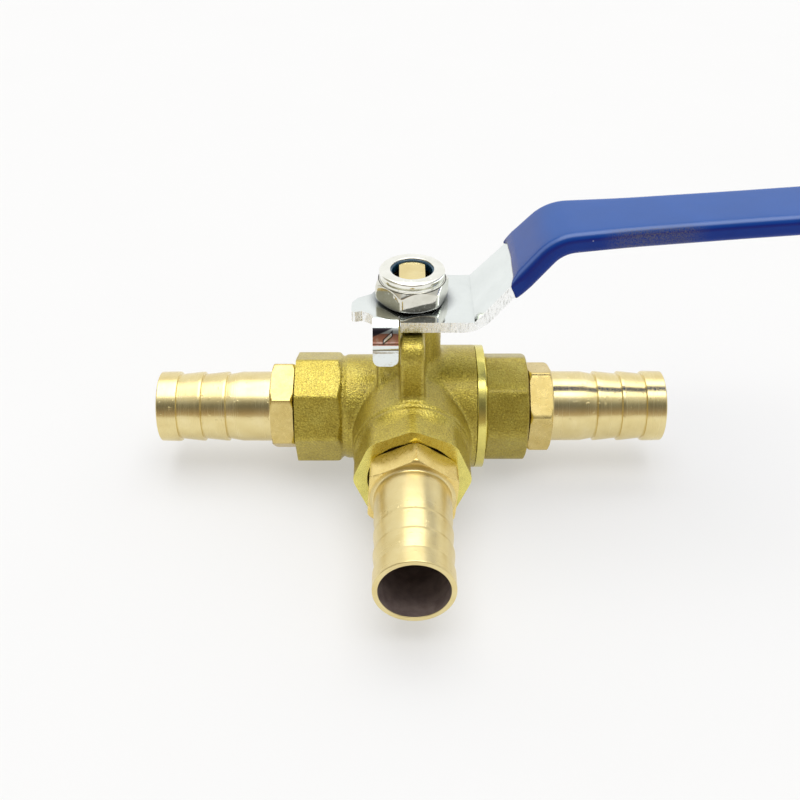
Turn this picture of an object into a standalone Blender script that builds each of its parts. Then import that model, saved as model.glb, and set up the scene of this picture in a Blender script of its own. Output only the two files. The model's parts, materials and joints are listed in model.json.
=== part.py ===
"""Three way ball valve with three hose barbs, one named object for each separate piece.

The origin is on the rest pad under the housing, on the stem's axis. +X points along the straight
run to the end cap, -Y out of the branch port and +Z up the stem. All sizes are in millimetres and
measured from the centre of the ball. make_object() turns them into metres, and the pivots that the
pieces hang on lift them to port height.
"""
import math

import bmesh
import bpy
from mathutils import Matrix, Vector

MM = 0.001
SEGMENTS = 28                 # facets round a turned surface
GAP = 0.3                     # clearance left between neighbouring pieces

# Housing
PORT_HEIGHT = 17.3            # port axes above the rest pad
HOUSING_RADIUS = 17.0
NECK_RADIUS = 14.4
BRANCH_NECK_RADIUS = 15.7
OCTAGON_RADIUS = 15.4         # to a corner
PORT_FACE = 31.2              # left port and end cap faces
BRANCH_FACE = 31.6
PARTING = 17.2                # body's open end, where the end cap meets it
SHOULDER_START = -12.4        # where the left neck starts to widen into the housing
SHOULDER_END = -8.2
NECK_END = 20.6               # the necks run this far out, into their octagons
BRANCH_NECK_END = 21.4
LEFT_OCTAGON_START = 19.6
BRANCH_OCTAGON_START = 15.0
REST_PAD_RADIUS = 7.0

# Bores
CAVITY_RADIUS = 12.0
CAVITY_END = 9.0
PASSAGE_RADIUS = 6.3
PORT_BORE_RADIUS = 10.6       # G1/2 female thread, plain here
PORT_BORE_BOTTOM = 18.0
CAP_BORE_RADIUS = 13.8        # body's female thread for the end cap
CAP_BORE_BOTTOM = 9.3
GASKET_SEAT = 15.9            # bottom of the counterbore for the end cap's gasket
GASKET_SEAT_RADIUS = HOUSING_RADIUS - 1.3
SEAT_POCKET_RADIUS = 8.4
SEAT_POCKET_START = CAVITY_END - 4.0      # well inside the cavity, so that the cut is clean
SEAT_POCKET_BOTTOM = 11.8
SIDE_POCKET_BOTTOM = 12.7     # deeper, with room for the rubber ring

# Ball and seats
BALL_RADIUS = 11.0
BALL_BORE_RADIUS = 6.0
SEAT_OUTER_RADIUS = 8.15
SEAT_FRONT = 8.45
SIDE_SEAT_BACK = 11.0         # branch and back seats, which rest on a rubber ring

# Hose barbs
BARB_END = 69.0               # ball centre to the free end of a barb screwed right in
BRANCH_BARB_OUT = 1.4         # the branch barb stands out further, by most of a thread turn
BARB_RADIUS = 9.6             # crest, for 19 mm hose
BARB_ROOT_RADIUS = 8.95
BARB_BORE_RADIUS = 8.3
BARB_CRESTS = (50.2, 56.9, 63.5)
BARB_TAPER_START = 46.5
BARB_THREAD_RADIUS = 10.3     # G1/2 male thread, plain here
BARB_THREAD_END = 20.2
HEX_RADIUS = 12.7             # to a corner, 22 mm across flats
HEX_INNER = 32.4
HEX_OUTER = 38.0

# Stem and its boss
BOSS_RADIUS = 7.7
BOSS_TOP = 31.3
STEM_BORE_RADIUS = 5.0
STEM_RADIUS = 4.7
STEM_THREAD_RADIUS = 4.9      # M10
STEM_FLATS = 6.8              # across the two flats
STEM_SHOULDER = 31.4
STEM_TOP = 42.2
COLLAR_RADIUS = 5.8
COLLAR_BOTTOM = 11.6
COLLAR_TOP = 13.5
COLLAR_BORE_RADIUS = 6.2
COLLAR_BORE_TOP = 14.8
COLLAR_BORE_BOTTOM = 6.0      # inside the ball cavity
O_RING_HEIGHTS = (19.0, 24.0)
TONGUE_THICKNESS = 3.0
TONGUE_WIDTH = 9.0
SLOT_DEPTH = 2.5

# Stop rib
RIB_HALF_WIDTH = 3.1
RIB_FRONT = -18.9
RIB_TOP = 30.7
RIB_BACK = -2.0               # buried in the boss
RIB_BOTTOM = 11.0             # buried in the housing
RIB_NOSE_RADIUS = 2.4

# Lever
PLATE_BOTTOM = 31.7
PLATE_THICKNESS = 2.9
LEVER_HUB_HALF_WIDTH = 12.2
LEVER_BEND_1_X = 16.2
LEVER_BEND_2_X = 35.0
LEVER_SLOPE = math.radians(49.0)
LEVER_ARM_RISE = math.radians(4.3)
LEVER_BEND_RADII = (5.5, 8.0)
LEVER_LENGTH = 119.0          # stem to the tip of the grip
ARM_REACH = 200.0             # the arm's straight is measured this far, beyond its tip
BEND_STEPS = 4                # creases in each bend of the sheet
TAB_INNER_X = -3.5
FRONT_TAB_OUTER_X = -10.0
BACK_TAB_OUTER_X = -9.0
TAB_BEND_Y = 9.0              # where the stop tabs start to bend down
TAB_BEND_RADIUS = 3.55        # to the middle of the sheet
TAB_BOTTOM = 22.4
SLEEVE_THICKNESS = 5.2        # overall, over the plate
SLEEVE_MOUTH = 28.4           # distance along the lever where the grip starts
SLEEVE_SIDE_WALL = 1.15       # how far the grip stands out from the plate's edge
# Half width of the steel plate at distances along the lever: wide hub, narrow arm in the grip
PLATE_HALF_WIDTHS = ((0.0, LEVER_HUB_HALF_WIDTH), (16.0, LEVER_HUB_HALF_WIDTH), (27.0, 11.2),
                     (48.0, 9.3), (62.0, 8.4), (90.0, 8.0), (ARM_REACH, 8.0))
# Outline of the ear behind the stem, from its back corner round to the front one
EAR = ((-10.4, 2.4), (-14.2, -0.2), (-15.4, -2.0), (-15.4, -6.6), (-14.6, -7.2), (-12.4, -6.4), (-10.4, -8.4))

# Lock nut
NUT_BOTTOM = 34.9
NUT_HEX_TOP = 40.7
NUT_TOP = 43.4
NUT_HEX_RADIUS = 9.8          # to a corner, 17 mm across flats
NUT_COLLAR_RADIUS = 8.4
NUT_BORE_RADIUS = 5.15
NUT_RIM_RADIUS = 5.8
NUT_RECESS_RADIUS = 6.4
NUT_TURN = math.radians(12.4)

# A direction's matrix turns local +Z into it, and local +X into "up" on a level port.
DIRECTIONS = {
    "left": Matrix(((0, 0, -1), (0, 1, 0), (1, 0, 0))),
    "right": Matrix(((0, 0, 1), (0, -1, 0), (1, 0, 0))),
    "branch": Matrix(((0, -1, 0), (0, 0, -1), (1, 0, 0))),
    "back": Matrix(((0, 1, 0), (0, 0, 1), (1, 0, 0))),
    "up": Matrix.Identity(3),
}

# Colour, roughness and metallic value of each material
FINISHES = {
    "forged_brass": ((0.56, 0.42, 0.10), 0.45, 1.0),
    "turned_brass": ((0.83, 0.62, 0.32), 0.25, 1.0),
    "stem_brass": ((0.80, 0.62, 0.32), 0.30, 1.0),
    "plated_ball": ((0.78, 0.78, 0.76), 0.12, 1.0),
    "chrome_plate": ((0.86, 0.87, 0.87), 0.10, 1.0),
    "nickel_nut": ((0.74, 0.72, 0.68), 0.20, 1.0),
    "blue_grip": ((0.02, 0.05, 0.30), 0.35, 0.0),
    "nylon": ((0.02, 0.10, 0.16), 0.40, 0.0),
    "ptfe": ((0.88, 0.88, 0.86), 0.45, 0.0),
    "black_rubber": ((0.02, 0.02, 0.02), 0.55, 0.0),
}


# ---------------------------------------------------------------- objects and booleans

def clear_scene():
    for obj in list(bpy.data.objects):
        bpy.data.objects.remove(obj, do_unlink=True)


def add_pivot(name, parent=None):
    """An empty on the ball's centre, which lies on the stem's axis."""
    pivot = bpy.data.objects.new(name, None)
    bpy.context.scene.collection.objects.link(pivot)
    pivot.parent = parent
    if parent is None:
        pivot.location = (0.0, 0.0, PORT_HEIGHT * MM)
    return pivot


def material(name):
    """The Principled material of a finish, made once."""
    if name in bpy.data.materials:
        return bpy.data.materials[name]
    colour, roughness, metallic = FINISHES[name]
    made = bpy.data.materials.new(name)
    made.use_nodes = True
    shader = made.node_tree.nodes["Principled BSDF"]
    shader.inputs["Base Color"].default_value = (*colour, 1.0)
    shader.inputs["Roughness"].default_value = roughness
    shader.inputs["Metallic"].default_value = metallic
    return made


def make_object(name, bm, direction="up"):
    """Close a bmesh into an object, turned to a direction and scaled to metres."""
    bmesh.ops.transform(bm, matrix=DIRECTIONS[direction].to_4x4() * MM, verts=bm.verts)
    bmesh.ops.recalc_face_normals(bm, faces=bm.faces)
    mesh = bpy.data.meshes.new(name)
    bm.to_mesh(mesh)
    bm.free()
    mesh.shade_smooth()
    mesh.set_sharp_from_angle(angle=math.radians(30.0))
    made = bpy.data.objects.new(name, mesh)
    bpy.context.scene.collection.objects.link(made)
    return made


def hang(piece, finish, pivot):
    """Give a piece its material and hang it on its pivot."""
    piece.data.materials.append(material(finish))
    piece.parent = pivot
    return piece


def combine(piece, tool, operation):
    """Join, cut or intersect a piece with a tool, which becomes a hidden guide."""
    boolean = piece.modifiers.new(tool.name, "BOOLEAN")
    boolean.operation = operation
    boolean.solver = "EXACT"
    boolean.object = tool
    tool.hide_render = True
    tool.display_type = "WIRE"
    return piece


def attach_guides(piece, pivot):
    """Hang a piece's guides on the same pivot, so that they stay with it."""
    for modifier in piece.modifiers:
        guide = modifier.object
        guide.parent = pivot
        attach_guides(guide, pivot)


# ---------------------------------------------------------------- basic shapes

def turned(name, profile, direction="up"):
    """Solid of revolution. The profile is a closed loop of (radius, distance along the direction)."""
    bm = bmesh.new()
    points = [bm.verts.new((radius, 0.0, along)) for radius, along in profile]
    edges = [bm.edges.new((points[i - 1], points[i])) for i in range(len(points))]
    bmesh.ops.spin(bm, geom=points + edges, cent=(0, 0, 0), axis=(0, 0, 1), steps=SEGMENTS,
                   angle=2.0 * math.pi, use_merge=True)
    bmesh.ops.remove_doubles(bm, verts=bm.verts, dist=0.001)
    return make_object(name, bm, direction)


def prism(name, outline, start, end, direction="up"):
    """Straight solid on an outline of (x, y) points, from start to end along the direction."""
    bm = bmesh.new()
    base = bm.faces.new([bm.verts.new((x, y, start)) for x, y in outline])
    extruded = bmesh.ops.extrude_face_region(bm, geom=[base])
    moved = [item for item in extruded["geom"] if isinstance(item, bmesh.types.BMVert)]
    bmesh.ops.translate(bm, vec=(0.0, 0.0, end - start), verts=moved)
    return make_object(name, bm, direction)


def polygon(sides, corner_radius, turn=0.0):
    """Corner points of a regular polygon."""
    step = 2.0 * math.pi / sides
    return [(corner_radius * math.cos(turn + i * step), corner_radius * math.sin(turn + i * step))
            for i in range(sides)]


def box(x, y):
    """Outline of a rectangle given as two (low, high) pairs."""
    return [(x[0], y[0]), (x[1], y[0]), (x[1], y[1]), (x[0], y[1])]


def arc(centre, radius, start, end, steps):
    """Points on an arc, angles in degrees."""
    angles = [math.radians(start + (end - start) * i / steps) for i in range(steps + 1)]
    return [(centre[0] + radius * math.cos(a), centre[1] + radius * math.sin(a)) for a in angles]


def spanner_flats(name, sides, corner_radius, start, end, chamfers, direction, turn=0.0):
    """Hexagon or octagon whose corners are turned off at both ends, as on a lathe.

    chamfers is (height, depth) at the start and (height, depth) at the end.
    """
    flats = prism(name, polygon(sides, corner_radius, turn), start, end, direction)
    (start_height, start_depth), (end_height, end_depth) = chamfers
    outside = corner_radius + 1.0
    slack = 1.0
    start_slope = (outside - corner_radius) * start_height / start_depth
    end_slope = (outside - corner_radius) * end_height / end_depth
    envelope = turned(name + "_turned", [
        (0.0, start - slack),
        (corner_radius - start_depth - slack * start_depth / start_height, start - slack),
        (outside, start + start_height + start_slope),
        (outside, end - end_height - end_slope),
        (corner_radius - end_depth - slack * end_depth / end_height, end + slack),
        (0.0, end + slack),
    ], direction)
    return combine(flats, envelope, "INTERSECT")


# ---------------------------------------------------------------- housing

def port_cutter(name, direction, pocket_bottom, face):
    """Stepped bore of a port: seat pocket, passage, thread bore and its mouth chamfer."""
    chamfer = 1.0
    beyond = 2.0
    return turned(name, [
        (0.0, SEAT_POCKET_START),
        (SEAT_POCKET_RADIUS, SEAT_POCKET_START),
        (SEAT_POCKET_RADIUS, pocket_bottom),
        (PASSAGE_RADIUS, pocket_bottom),
        (PASSAGE_RADIUS, PORT_BORE_BOTTOM),
        (PORT_BORE_RADIUS, PORT_BORE_BOTTOM),
        (PORT_BORE_RADIUS, face - chamfer),
        (PORT_BORE_RADIUS + chamfer * 1.2, face + chamfer * 0.2),
        (PORT_BORE_RADIUS + chamfer * 1.2, face + beyond),
        (0.0, face + beyond),
    ], direction)


def housing_shell():
    """Outside of the left neck and the ball housing, along the straight run."""
    return turned("valve_body", [
        (0.0, -NECK_END),
        (NECK_RADIUS - 1.0, -NECK_END),
        (NECK_RADIUS, -NECK_END + 1.3),
        (NECK_RADIUS, SHOULDER_START),
        (NECK_RADIUS + 0.5, SHOULDER_START + 0.8),
        (HOUSING_RADIUS - 0.6, SHOULDER_END - 1.1),
        (HOUSING_RADIUS, SHOULDER_END),
        (HOUSING_RADIUS, PARTING - 0.3),
        (HOUSING_RADIUS - 0.3, PARTING),
        (0.0, PARTING),
    ], "right")


def stop_rib():
    """Upright rib in front of the boss; the lever's stop tabs come to rest on its two sides."""
    nose_y = RIB_FRONT + RIB_NOSE_RADIUS
    nose_x = RIB_HALF_WIDTH - RIB_NOSE_RADIUS
    outline = [(RIB_HALF_WIDTH, RIB_BACK), (-RIB_HALF_WIDTH, RIB_BACK)]
    outline += arc((-nose_x, nose_y), RIB_NOSE_RADIUS, 180.0, 270.0, 3)
    outline += arc((nose_x, nose_y), RIB_NOSE_RADIUS, 270.0, 360.0, 3)
    return prism("stop_rib", outline, RIB_BOTTOM, RIB_TOP)


def straight_run_cutter():
    """Ball cavity, end cap thread bore and the gasket's counterbore, open at the parting."""
    return turned("straight_run_bore", [
        (0.0, -CAVITY_END),
        (CAVITY_RADIUS, -CAVITY_END),
        (CAVITY_RADIUS, CAP_BORE_BOTTOM),
        (CAP_BORE_RADIUS, CAP_BORE_BOTTOM),
        (CAP_BORE_RADIUS, GASKET_SEAT),
        (GASKET_SEAT_RADIUS, GASKET_SEAT),
        (GASKET_SEAT_RADIUS, PARTING + 1.0),
        (0.0, PARTING + 1.0),
    ], "right")


def back_pocket_cutter():
    """Blind pocket for the seat opposite the branch."""
    return turned("back_pocket", [
        (0.0, SEAT_POCKET_START),
        (SEAT_POCKET_RADIUS, SEAT_POCKET_START),
        (SEAT_POCKET_RADIUS, SIDE_POCKET_BOTTOM),
        (0.0, SIDE_POCKET_BOTTOM),
    ], "back")


def stem_bore_cutter():
    """Bore of the boss, wider at the bottom for the stem's collar."""
    chamfer = 0.5
    return turned("stem_bore", [
        (0.0, COLLAR_BORE_BOTTOM),
        (COLLAR_BORE_RADIUS, COLLAR_BORE_BOTTOM),
        (COLLAR_BORE_RADIUS, COLLAR_BORE_TOP),
        (STEM_BORE_RADIUS, COLLAR_BORE_TOP),
        (STEM_BORE_RADIUS, BOSS_TOP - chamfer),
        (STEM_BORE_RADIUS + 2.0 * chamfer, BOSS_TOP + chamfer),
        (0.0, BOSS_TOP + chamfer),
    ])


def valve_body(pivot):
    body = housing_shell()
    octagon_chamfers = ((0.7, 0.9), (0.8, 1.1))
    added = [
        spanner_flats("left_octagon", 8, OCTAGON_RADIUS, LEFT_OCTAGON_START, PORT_FACE,
                      octagon_chamfers, "left"),
        turned("branch_neck", [(0.0, 2.0), (BRANCH_NECK_RADIUS, 2.0),
                               (BRANCH_NECK_RADIUS, BRANCH_NECK_END - 0.6),
                               (BRANCH_NECK_RADIUS - 0.6, BRANCH_NECK_END), (0.0, BRANCH_NECK_END)],
               "branch"),
        spanner_flats("branch_octagon", 8, OCTAGON_RADIUS, BRANCH_OCTAGON_START, BRANCH_FACE,
                      octagon_chamfers, "branch"),
        turned("boss", [(0.0, 4.0), (BOSS_RADIUS, 4.0), (BOSS_RADIUS, BOSS_TOP - 0.4),
                        (BOSS_RADIUS - 0.4, BOSS_TOP), (0.0, BOSS_TOP)]),
        stop_rib(),
        turned("rest_pad", [(0.0, -PORT_HEIGHT), (REST_PAD_RADIUS - 0.3, -PORT_HEIGHT),
                            (REST_PAD_RADIUS, -PORT_HEIGHT + 0.3), (REST_PAD_RADIUS, -8.0), (0.0, -8.0)]),
    ]
    for shape in added:
        combine(body, shape, "UNION")
    cutters = [
        straight_run_cutter(),
        port_cutter("left_port_bore", "left", SEAT_POCKET_BOTTOM, PORT_FACE),
        port_cutter("branch_port_bore", "branch", SIDE_POCKET_BOTTOM, BRANCH_FACE),
        back_pocket_cutter(),
        stem_bore_cutter(),
    ]
    for cutter in cutters:
        combine(body, cutter, "DIFFERENCE")
    attach_guides(body, pivot)
    return hang(body, "forged_brass", pivot)


def end_cap(pivot):
    """End connector: threaded plug, bright turned ring, groove and octagon."""
    plug_radius = CAP_BORE_RADIUS - GAP
    plug_face = 9.8
    ring_start = PARTING + GAP
    ring_end = 19.6
    octagon_start = 20.1
    cap = turned("end_cap", [
        (0.0, plug_face),
        (plug_radius - 0.5, plug_face),
        (plug_radius, plug_face + 0.5),
        (plug_radius, ring_start),
        (HOUSING_RADIUS - 0.3, ring_start),
        (HOUSING_RADIUS, ring_start + 0.3),
        (HOUSING_RADIUS, ring_end - 0.3),
        (HOUSING_RADIUS - 0.3, ring_end),
        (NECK_RADIUS - 0.4, ring_end),
        (NECK_RADIUS - 0.4, octagon_start + 1.0),
        (0.0, octagon_start + 1.0),
    ], "right")
    octagon = spanner_flats("cap_octagon", 8, OCTAGON_RADIUS, octagon_start, PORT_FACE,
                            ((0.3, 0.4), (0.8, 1.2)), "right", math.radians(-5.0))
    combine(cap, octagon, "UNION")
    combine(cap, port_cutter("cap_bore", "right", SEAT_POCKET_BOTTOM, PORT_FACE), "DIFFERENCE")
    attach_guides(cap, pivot)
    return hang(cap, "forged_brass", pivot)


def cap_gasket(pivot):
    inner = CAP_BORE_RADIUS
    outer = GASKET_SEAT_RADIUS - GAP
    start = GASKET_SEAT + GAP
    end = PARTING
    gasket = turned("cap_gasket", [(inner, start), (outer, start), (outer, end), (inner, end)], "right")
    return hang(gasket, "ptfe", pivot)


def seat(name, direction, pivot):
    """PTFE seat ring, hollowed to the ball on its inner side."""
    back = SEAT_POCKET_BOTTOM - 0.2
    if direction in ("branch", "back"):
        back = SIDE_SEAT_BACK
    inner = PASSAGE_RADIUS
    hollow = BALL_RADIUS + GAP
    steps = 3
    lip_radius = math.sqrt(hollow ** 2 - SEAT_FRONT ** 2)
    profile = [(inner, back), (SEAT_OUTER_RADIUS, back), (SEAT_OUTER_RADIUS, SEAT_FRONT)]
    for i in range(steps + 1):
        radius = lip_radius + (inner - lip_radius) * i / steps
        profile.append((radius, math.sqrt(hollow ** 2 - radius ** 2)))
    return hang(turned(name, profile, direction), "ptfe", pivot)


def round_ring(name, centre_radius, wire_radius, height, direction, finish, pivot):
    """Ring of round wire, such as an O-ring."""
    sides = 6
    profile = [(centre_radius + wire_radius * math.cos(2.0 * math.pi * i / sides),
                height + wire_radius * math.sin(2.0 * math.pi * i / sides)) for i in range(sides)]
    return hang(turned(name, profile, direction), finish, pivot)


def hose_barb(name, direction, hex_turn, out, pivot):
    """Hose tail: male thread, hexagon and a sawtooth shank. out is how far it is unscrewed."""
    thread_end = BARB_THREAD_END + out
    hex_inner = HEX_INNER + out
    hex_outer = HEX_OUTER + out
    end = BARB_END + out
    relief_radius = BARB_THREAD_RADIUS - 0.9
    tooth_back = 0.15
    end_chamfer = 0.25
    profile = [
        (BARB_BORE_RADIUS, thread_end),
        (BARB_THREAD_RADIUS - 0.7, thread_end),
        (BARB_THREAD_RADIUS, thread_end + 0.7),
        (BARB_THREAD_RADIUS, hex_inner - 1.9),
        (relief_radius, hex_inner - 1.3),
        (relief_radius, hex_inner + 1.0),
        (BARB_RADIUS + 1.0, hex_inner + 1.0),
        (BARB_RADIUS + 1.0, hex_outer),
        (BARB_RADIUS + 0.3, hex_outer + 0.3),
        (BARB_RADIUS, hex_outer + 1.0),
        (BARB_RADIUS, BARB_TAPER_START + out),
    ]
    for crest in BARB_CRESTS:
        profile += [(BARB_ROOT_RADIUS, crest + out - tooth_back), (BARB_RADIUS, crest + out)]
    profile += [(BARB_RADIUS, end - end_chamfer), (BARB_RADIUS - end_chamfer, end), (BARB_BORE_RADIUS, end)]
    barb = turned(name, profile, direction)
    hexagon = spanner_flats(name + "_hex", 6, HEX_RADIUS, hex_inner, hex_outer,
                            ((0.3, 0.5), (0.6, 1.3)), direction, math.radians(hex_turn))
    centre_hole = turned(name + "_hex_hole", [
        (0.0, hex_inner - 1.0), (BARB_BORE_RADIUS + 0.4, hex_inner - 1.0),
        (BARB_BORE_RADIUS + 0.4, hex_outer + 1.0), (0.0, hex_outer + 1.0)], direction)
    combine(hexagon, centre_hole, "DIFFERENCE")
    combine(barb, hexagon, "UNION")
    attach_guides(barb, pivot)
    return hang(barb, "turned_brass", pivot)


# ---------------------------------------------------------------- ball and stem

def ball(pivot):
    """Ball with a T passage: a through bore along X and a side bore to the branch, slot on top."""
    bm = bmesh.new()
    bmesh.ops.create_uvsphere(bm, u_segments=SEGMENTS, v_segments=SEGMENTS // 2, radius=BALL_RADIUS)
    sphere = make_object("ball", bm)
    reach = BALL_RADIUS + 2.0
    through = turned("ball_through_bore", [(0.0, -reach), (BALL_BORE_RADIUS, -reach),
                                           (BALL_BORE_RADIUS, reach), (0.0, reach)], "right")
    side = turned("ball_side_bore", [(0.0, 1.0), (BALL_BORE_RADIUS, 1.0),
                                     (BALL_BORE_RADIUS, reach), (0.0, reach)], "branch")
    half = TONGUE_THICKNESS / 2.0 + GAP
    slot = prism("ball_slot", box((-reach, reach), (-half, half)), BALL_RADIUS - SLOT_DEPTH, reach)
    for cutter in (through, side, slot):
        combine(sphere, cutter, "DIFFERENCE")
    attach_guides(sphere, pivot)
    return hang(sphere, "plated_ball", pivot)


def stem(pivot):
    """Spindle: tongue, thrust collar, shaft with two seal grooves, and a threaded end with flats."""
    groove_radius = 3.7
    groove_half = 1.0
    chamfer = 0.6
    profile = [(0.0, COLLAR_BOTTOM), (COLLAR_RADIUS, COLLAR_BOTTOM), (COLLAR_RADIUS, COLLAR_TOP),
               (STEM_RADIUS, COLLAR_TOP)]
    for height in O_RING_HEIGHTS:
        profile += [(STEM_RADIUS, height - groove_half), (groove_radius, height - groove_half),
                    (groove_radius, height + groove_half), (STEM_RADIUS, height + groove_half)]
    profile += [(STEM_RADIUS, STEM_SHOULDER), (STEM_THREAD_RADIUS, STEM_SHOULDER),
                (STEM_THREAD_RADIUS, STEM_TOP - chamfer), (STEM_THREAD_RADIUS - chamfer, STEM_TOP),
                (0.0, STEM_TOP)]
    spindle = turned("stem", profile)
    side = STEM_FLATS / 2.0
    for name, low, high in (("left_flat", -10.0, -side), ("right_flat", side, 10.0)):
        flat = prism(name, box((low, high), (-10.0, 10.0)), STEM_SHOULDER, STEM_TOP + 1.0)
        combine(spindle, flat, "DIFFERENCE")
    tongue = prism("tongue", box((-TONGUE_WIDTH / 2.0, TONGUE_WIDTH / 2.0),
                                 (-TONGUE_THICKNESS / 2.0, TONGUE_THICKNESS / 2.0)),
                   BALL_RADIUS - SLOT_DEPTH + GAP, COLLAR_BOTTOM + 0.5)
    combine(spindle, tongue, "UNION")
    attach_guides(spindle, pivot)
    return hang(spindle, "stem_brass", pivot)


def stem_thrust_washer(pivot):
    inner = STEM_RADIUS + 0.25
    outer = COLLAR_RADIUS
    bottom = COLLAR_TOP + GAP
    top = COLLAR_BORE_TOP - GAP
    washer = turned("stem_thrust_washer", [(inner, bottom), (outer, bottom), (outer, top), (inner, top)])
    return hang(washer, "ptfe", pivot)


# ---------------------------------------------------------------- lever

def lever_path():
    """Middle line of the lever in the XZ plane, as straight and bent stretches.

    Each stretch is (length, total turn); a straight one turns by 0.
    """
    turns = (LEVER_SLOPE, LEVER_ARM_RISE - LEVER_SLOPE)
    setbacks = [radius * math.tan(abs(turn) / 2.0) for radius, turn in zip(LEVER_BEND_RADII, turns)]
    arcs = [radius * abs(turn) for radius, turn in zip(LEVER_BEND_RADII, turns)]
    slope_length = (LEVER_BEND_2_X - LEVER_BEND_1_X) / math.cos(LEVER_SLOPE)
    return [
        (LEVER_BEND_1_X - setbacks[0], 0.0),
        (arcs[0], turns[0]),
        (slope_length - setbacks[0] - setbacks[1], 0.0),
        (arcs[1], turns[1]),
        (ARM_REACH, 0.0),
    ]


def lever_point(along, across, off):
    """Place on the bent lever: distance along it, distance across, and height off its middle line."""
    x = 0.0
    z = PLATE_BOTTOM + PLATE_THICKNESS / 2.0
    angle = 0.0
    left = along
    for length, turn in lever_path():
        step = min(left, length)
        if turn:
            swing = turn * step / length
            radius = length / turn
            x += radius * (math.sin(angle + swing) - math.sin(angle))
            z += radius * (math.cos(angle) - math.cos(angle + swing))
            angle += swing
        else:
            x += step * math.cos(angle)
            z += step * math.sin(angle)
        left -= step
        if left <= 0.0:
            break
    return Vector((x - off * math.sin(angle), across, z + off * math.cos(angle)))


def lever_bend_stations():
    """Distances along the lever where the sheet needs a crease, in and beside each bend."""
    stations = []
    start = 0.0
    for length, turn in lever_path():
        if turn:
            stations += [start + length * i / BEND_STEPS for i in range(BEND_STEPS + 1)]
        start += length
    return stations


def plate_half_width(along):
    """Half width of the steel plate, wide at the hub and narrow in the grip."""
    for (low, low_width), (high, high_width) in zip(PLATE_HALF_WIDTHS, PLATE_HALF_WIDTHS[1:]):
        if along <= high:
            return low_width + (high_width - low_width) * (along - low) / (high - low)
    return PLATE_HALF_WIDTHS[-1][1]


def lever_end():
    """Distance along the lever at which the steel plate ends, inside the tip of the grip."""
    arm_start = sum(length for length, _ in lever_path()[:-1])
    bend_exit_x = lever_point(arm_start, 0.0, 0.0).x
    return arm_start + (LEVER_LENGTH - bend_exit_x) / math.cos(LEVER_ARM_RISE) - SLEEVE_SIDE_WALL


def tab_length():
    """Flat length of a stop tab, from where it starts to bend to its tip."""
    middle = PLATE_BOTTOM + PLATE_THICKNESS / 2.0
    return TAB_BEND_RADIUS * math.pi / 2.0 + (middle - TAB_BEND_RADIUS - TAB_BOTTOM)


def tab_outline(outer_x):
    """Flat pattern of a stop tab on the -Y side, from the hub's outer corner round to its front edge."""
    tip = tab_length() + TAB_BEND_Y
    corner = 1.8
    relief = 0.5
    outline = [(outer_x, -TAB_BEND_Y), (outer_x, -tip + corner)]
    outline += arc((outer_x + corner, -tip + corner), corner, 200, 270, 2)
    outline += arc((TAB_INNER_X - corner, -tip + corner), corner, 270, 340, 2)
    outline += [(TAB_INNER_X, -tip + corner), (TAB_INNER_X, -TAB_BEND_Y)]
    outline += [(TAB_INNER_X + relief, -TAB_BEND_Y), (TAB_INNER_X + relief, -LEVER_HUB_HALF_WIDTH)]
    return outline


def plate_outline():
    """Flat pattern of the lever before bending, counterclockwise, with its two stop tabs and ear."""
    end = lever_end()
    end_radius = plate_half_width(end)
    arm = [(along, -plate_half_width(along)) for along in (16.0, 27.0, 38.0, 48.0, 62.0, 90.0)]
    front = tab_outline(FRONT_TAB_OUTER_X) + arm
    back = tab_outline(BACK_TAB_OUTER_X) + arm
    tip = arc((end - end_radius, 0.0), end_radius, -90, 90, 10)
    return front + tip + [(x, -y) for x, y in reversed(back)] + list(EAR)


def bend_plate(point):
    """Move a point of the flat sheet to its place on the bent lever."""
    along, across, off = point
    tabbed = along <= TAB_INNER_X + 0.001 and abs(across) > TAB_BEND_Y
    if not tabbed:
        return lever_point(max(along, 0.0), across, off) + Vector((min(along, 0.0), 0.0, 0.0))
    side = math.copysign(1.0, across)
    beyond = abs(across) - TAB_BEND_Y
    bend_length = TAB_BEND_RADIUS * math.pi / 2.0
    swing = min(beyond, bend_length) / TAB_BEND_RADIUS
    straight = max(beyond - bend_length, 0.0)
    middle = PLATE_BOTTOM + PLATE_THICKNESS / 2.0
    reach = (TAB_BEND_RADIUS + off) * math.sin(swing)
    drop = TAB_BEND_RADIUS - (TAB_BEND_RADIUS + off) * math.cos(swing) + straight
    return Vector((along, side * (TAB_BEND_Y + reach), middle - drop))


def lever_plate(pivot):
    """Steel lever, cut as a flat sheet, creased where it bends, then bent and drilled."""
    bm = bmesh.new()
    bm.faces.new([bm.verts.new((x, y, 0.0)) for x, y in plate_outline()])
    creases = [((along, 0.0, 0.0), (1.0, 0.0, 0.0)) for along in lever_bend_stations()]
    tab_bend = TAB_BEND_RADIUS * math.pi / 2.0
    for side in (-1.0, 1.0):
        creases += [((0.0, side * (TAB_BEND_Y + tab_bend * i / BEND_STEPS), 0.0), (0.0, 1.0, 0.0))
                    for i in range(BEND_STEPS + 1)]
    for place, normal in creases:
        bmesh.ops.bisect_plane(bm, geom=bm.verts[:] + bm.edges[:] + bm.faces[:], dist=0.0001,
                               plane_co=place, plane_no=normal)
    bmesh.ops.triangulate(bm, faces=bm.faces, ngon_method="EAR_CLIP")
    extruded = bmesh.ops.extrude_face_region(bm, geom=bm.faces[:])
    top = {item for item in extruded["geom"] if isinstance(item, bmesh.types.BMVert)}
    for vert in bm.verts:
        vert.co.z = PLATE_THICKNESS / 2.0 if vert in top else -PLATE_THICKNESS / 2.0
    for vert in bm.verts:
        vert.co = bend_plate(vert.co)
    plate = make_object("lever_plate", bm)
    combine(plate, stem_hole(), "DIFFERENCE")
    attach_guides(plate, pivot)
    return hang(plate, "chrome_plate", pivot)


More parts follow.
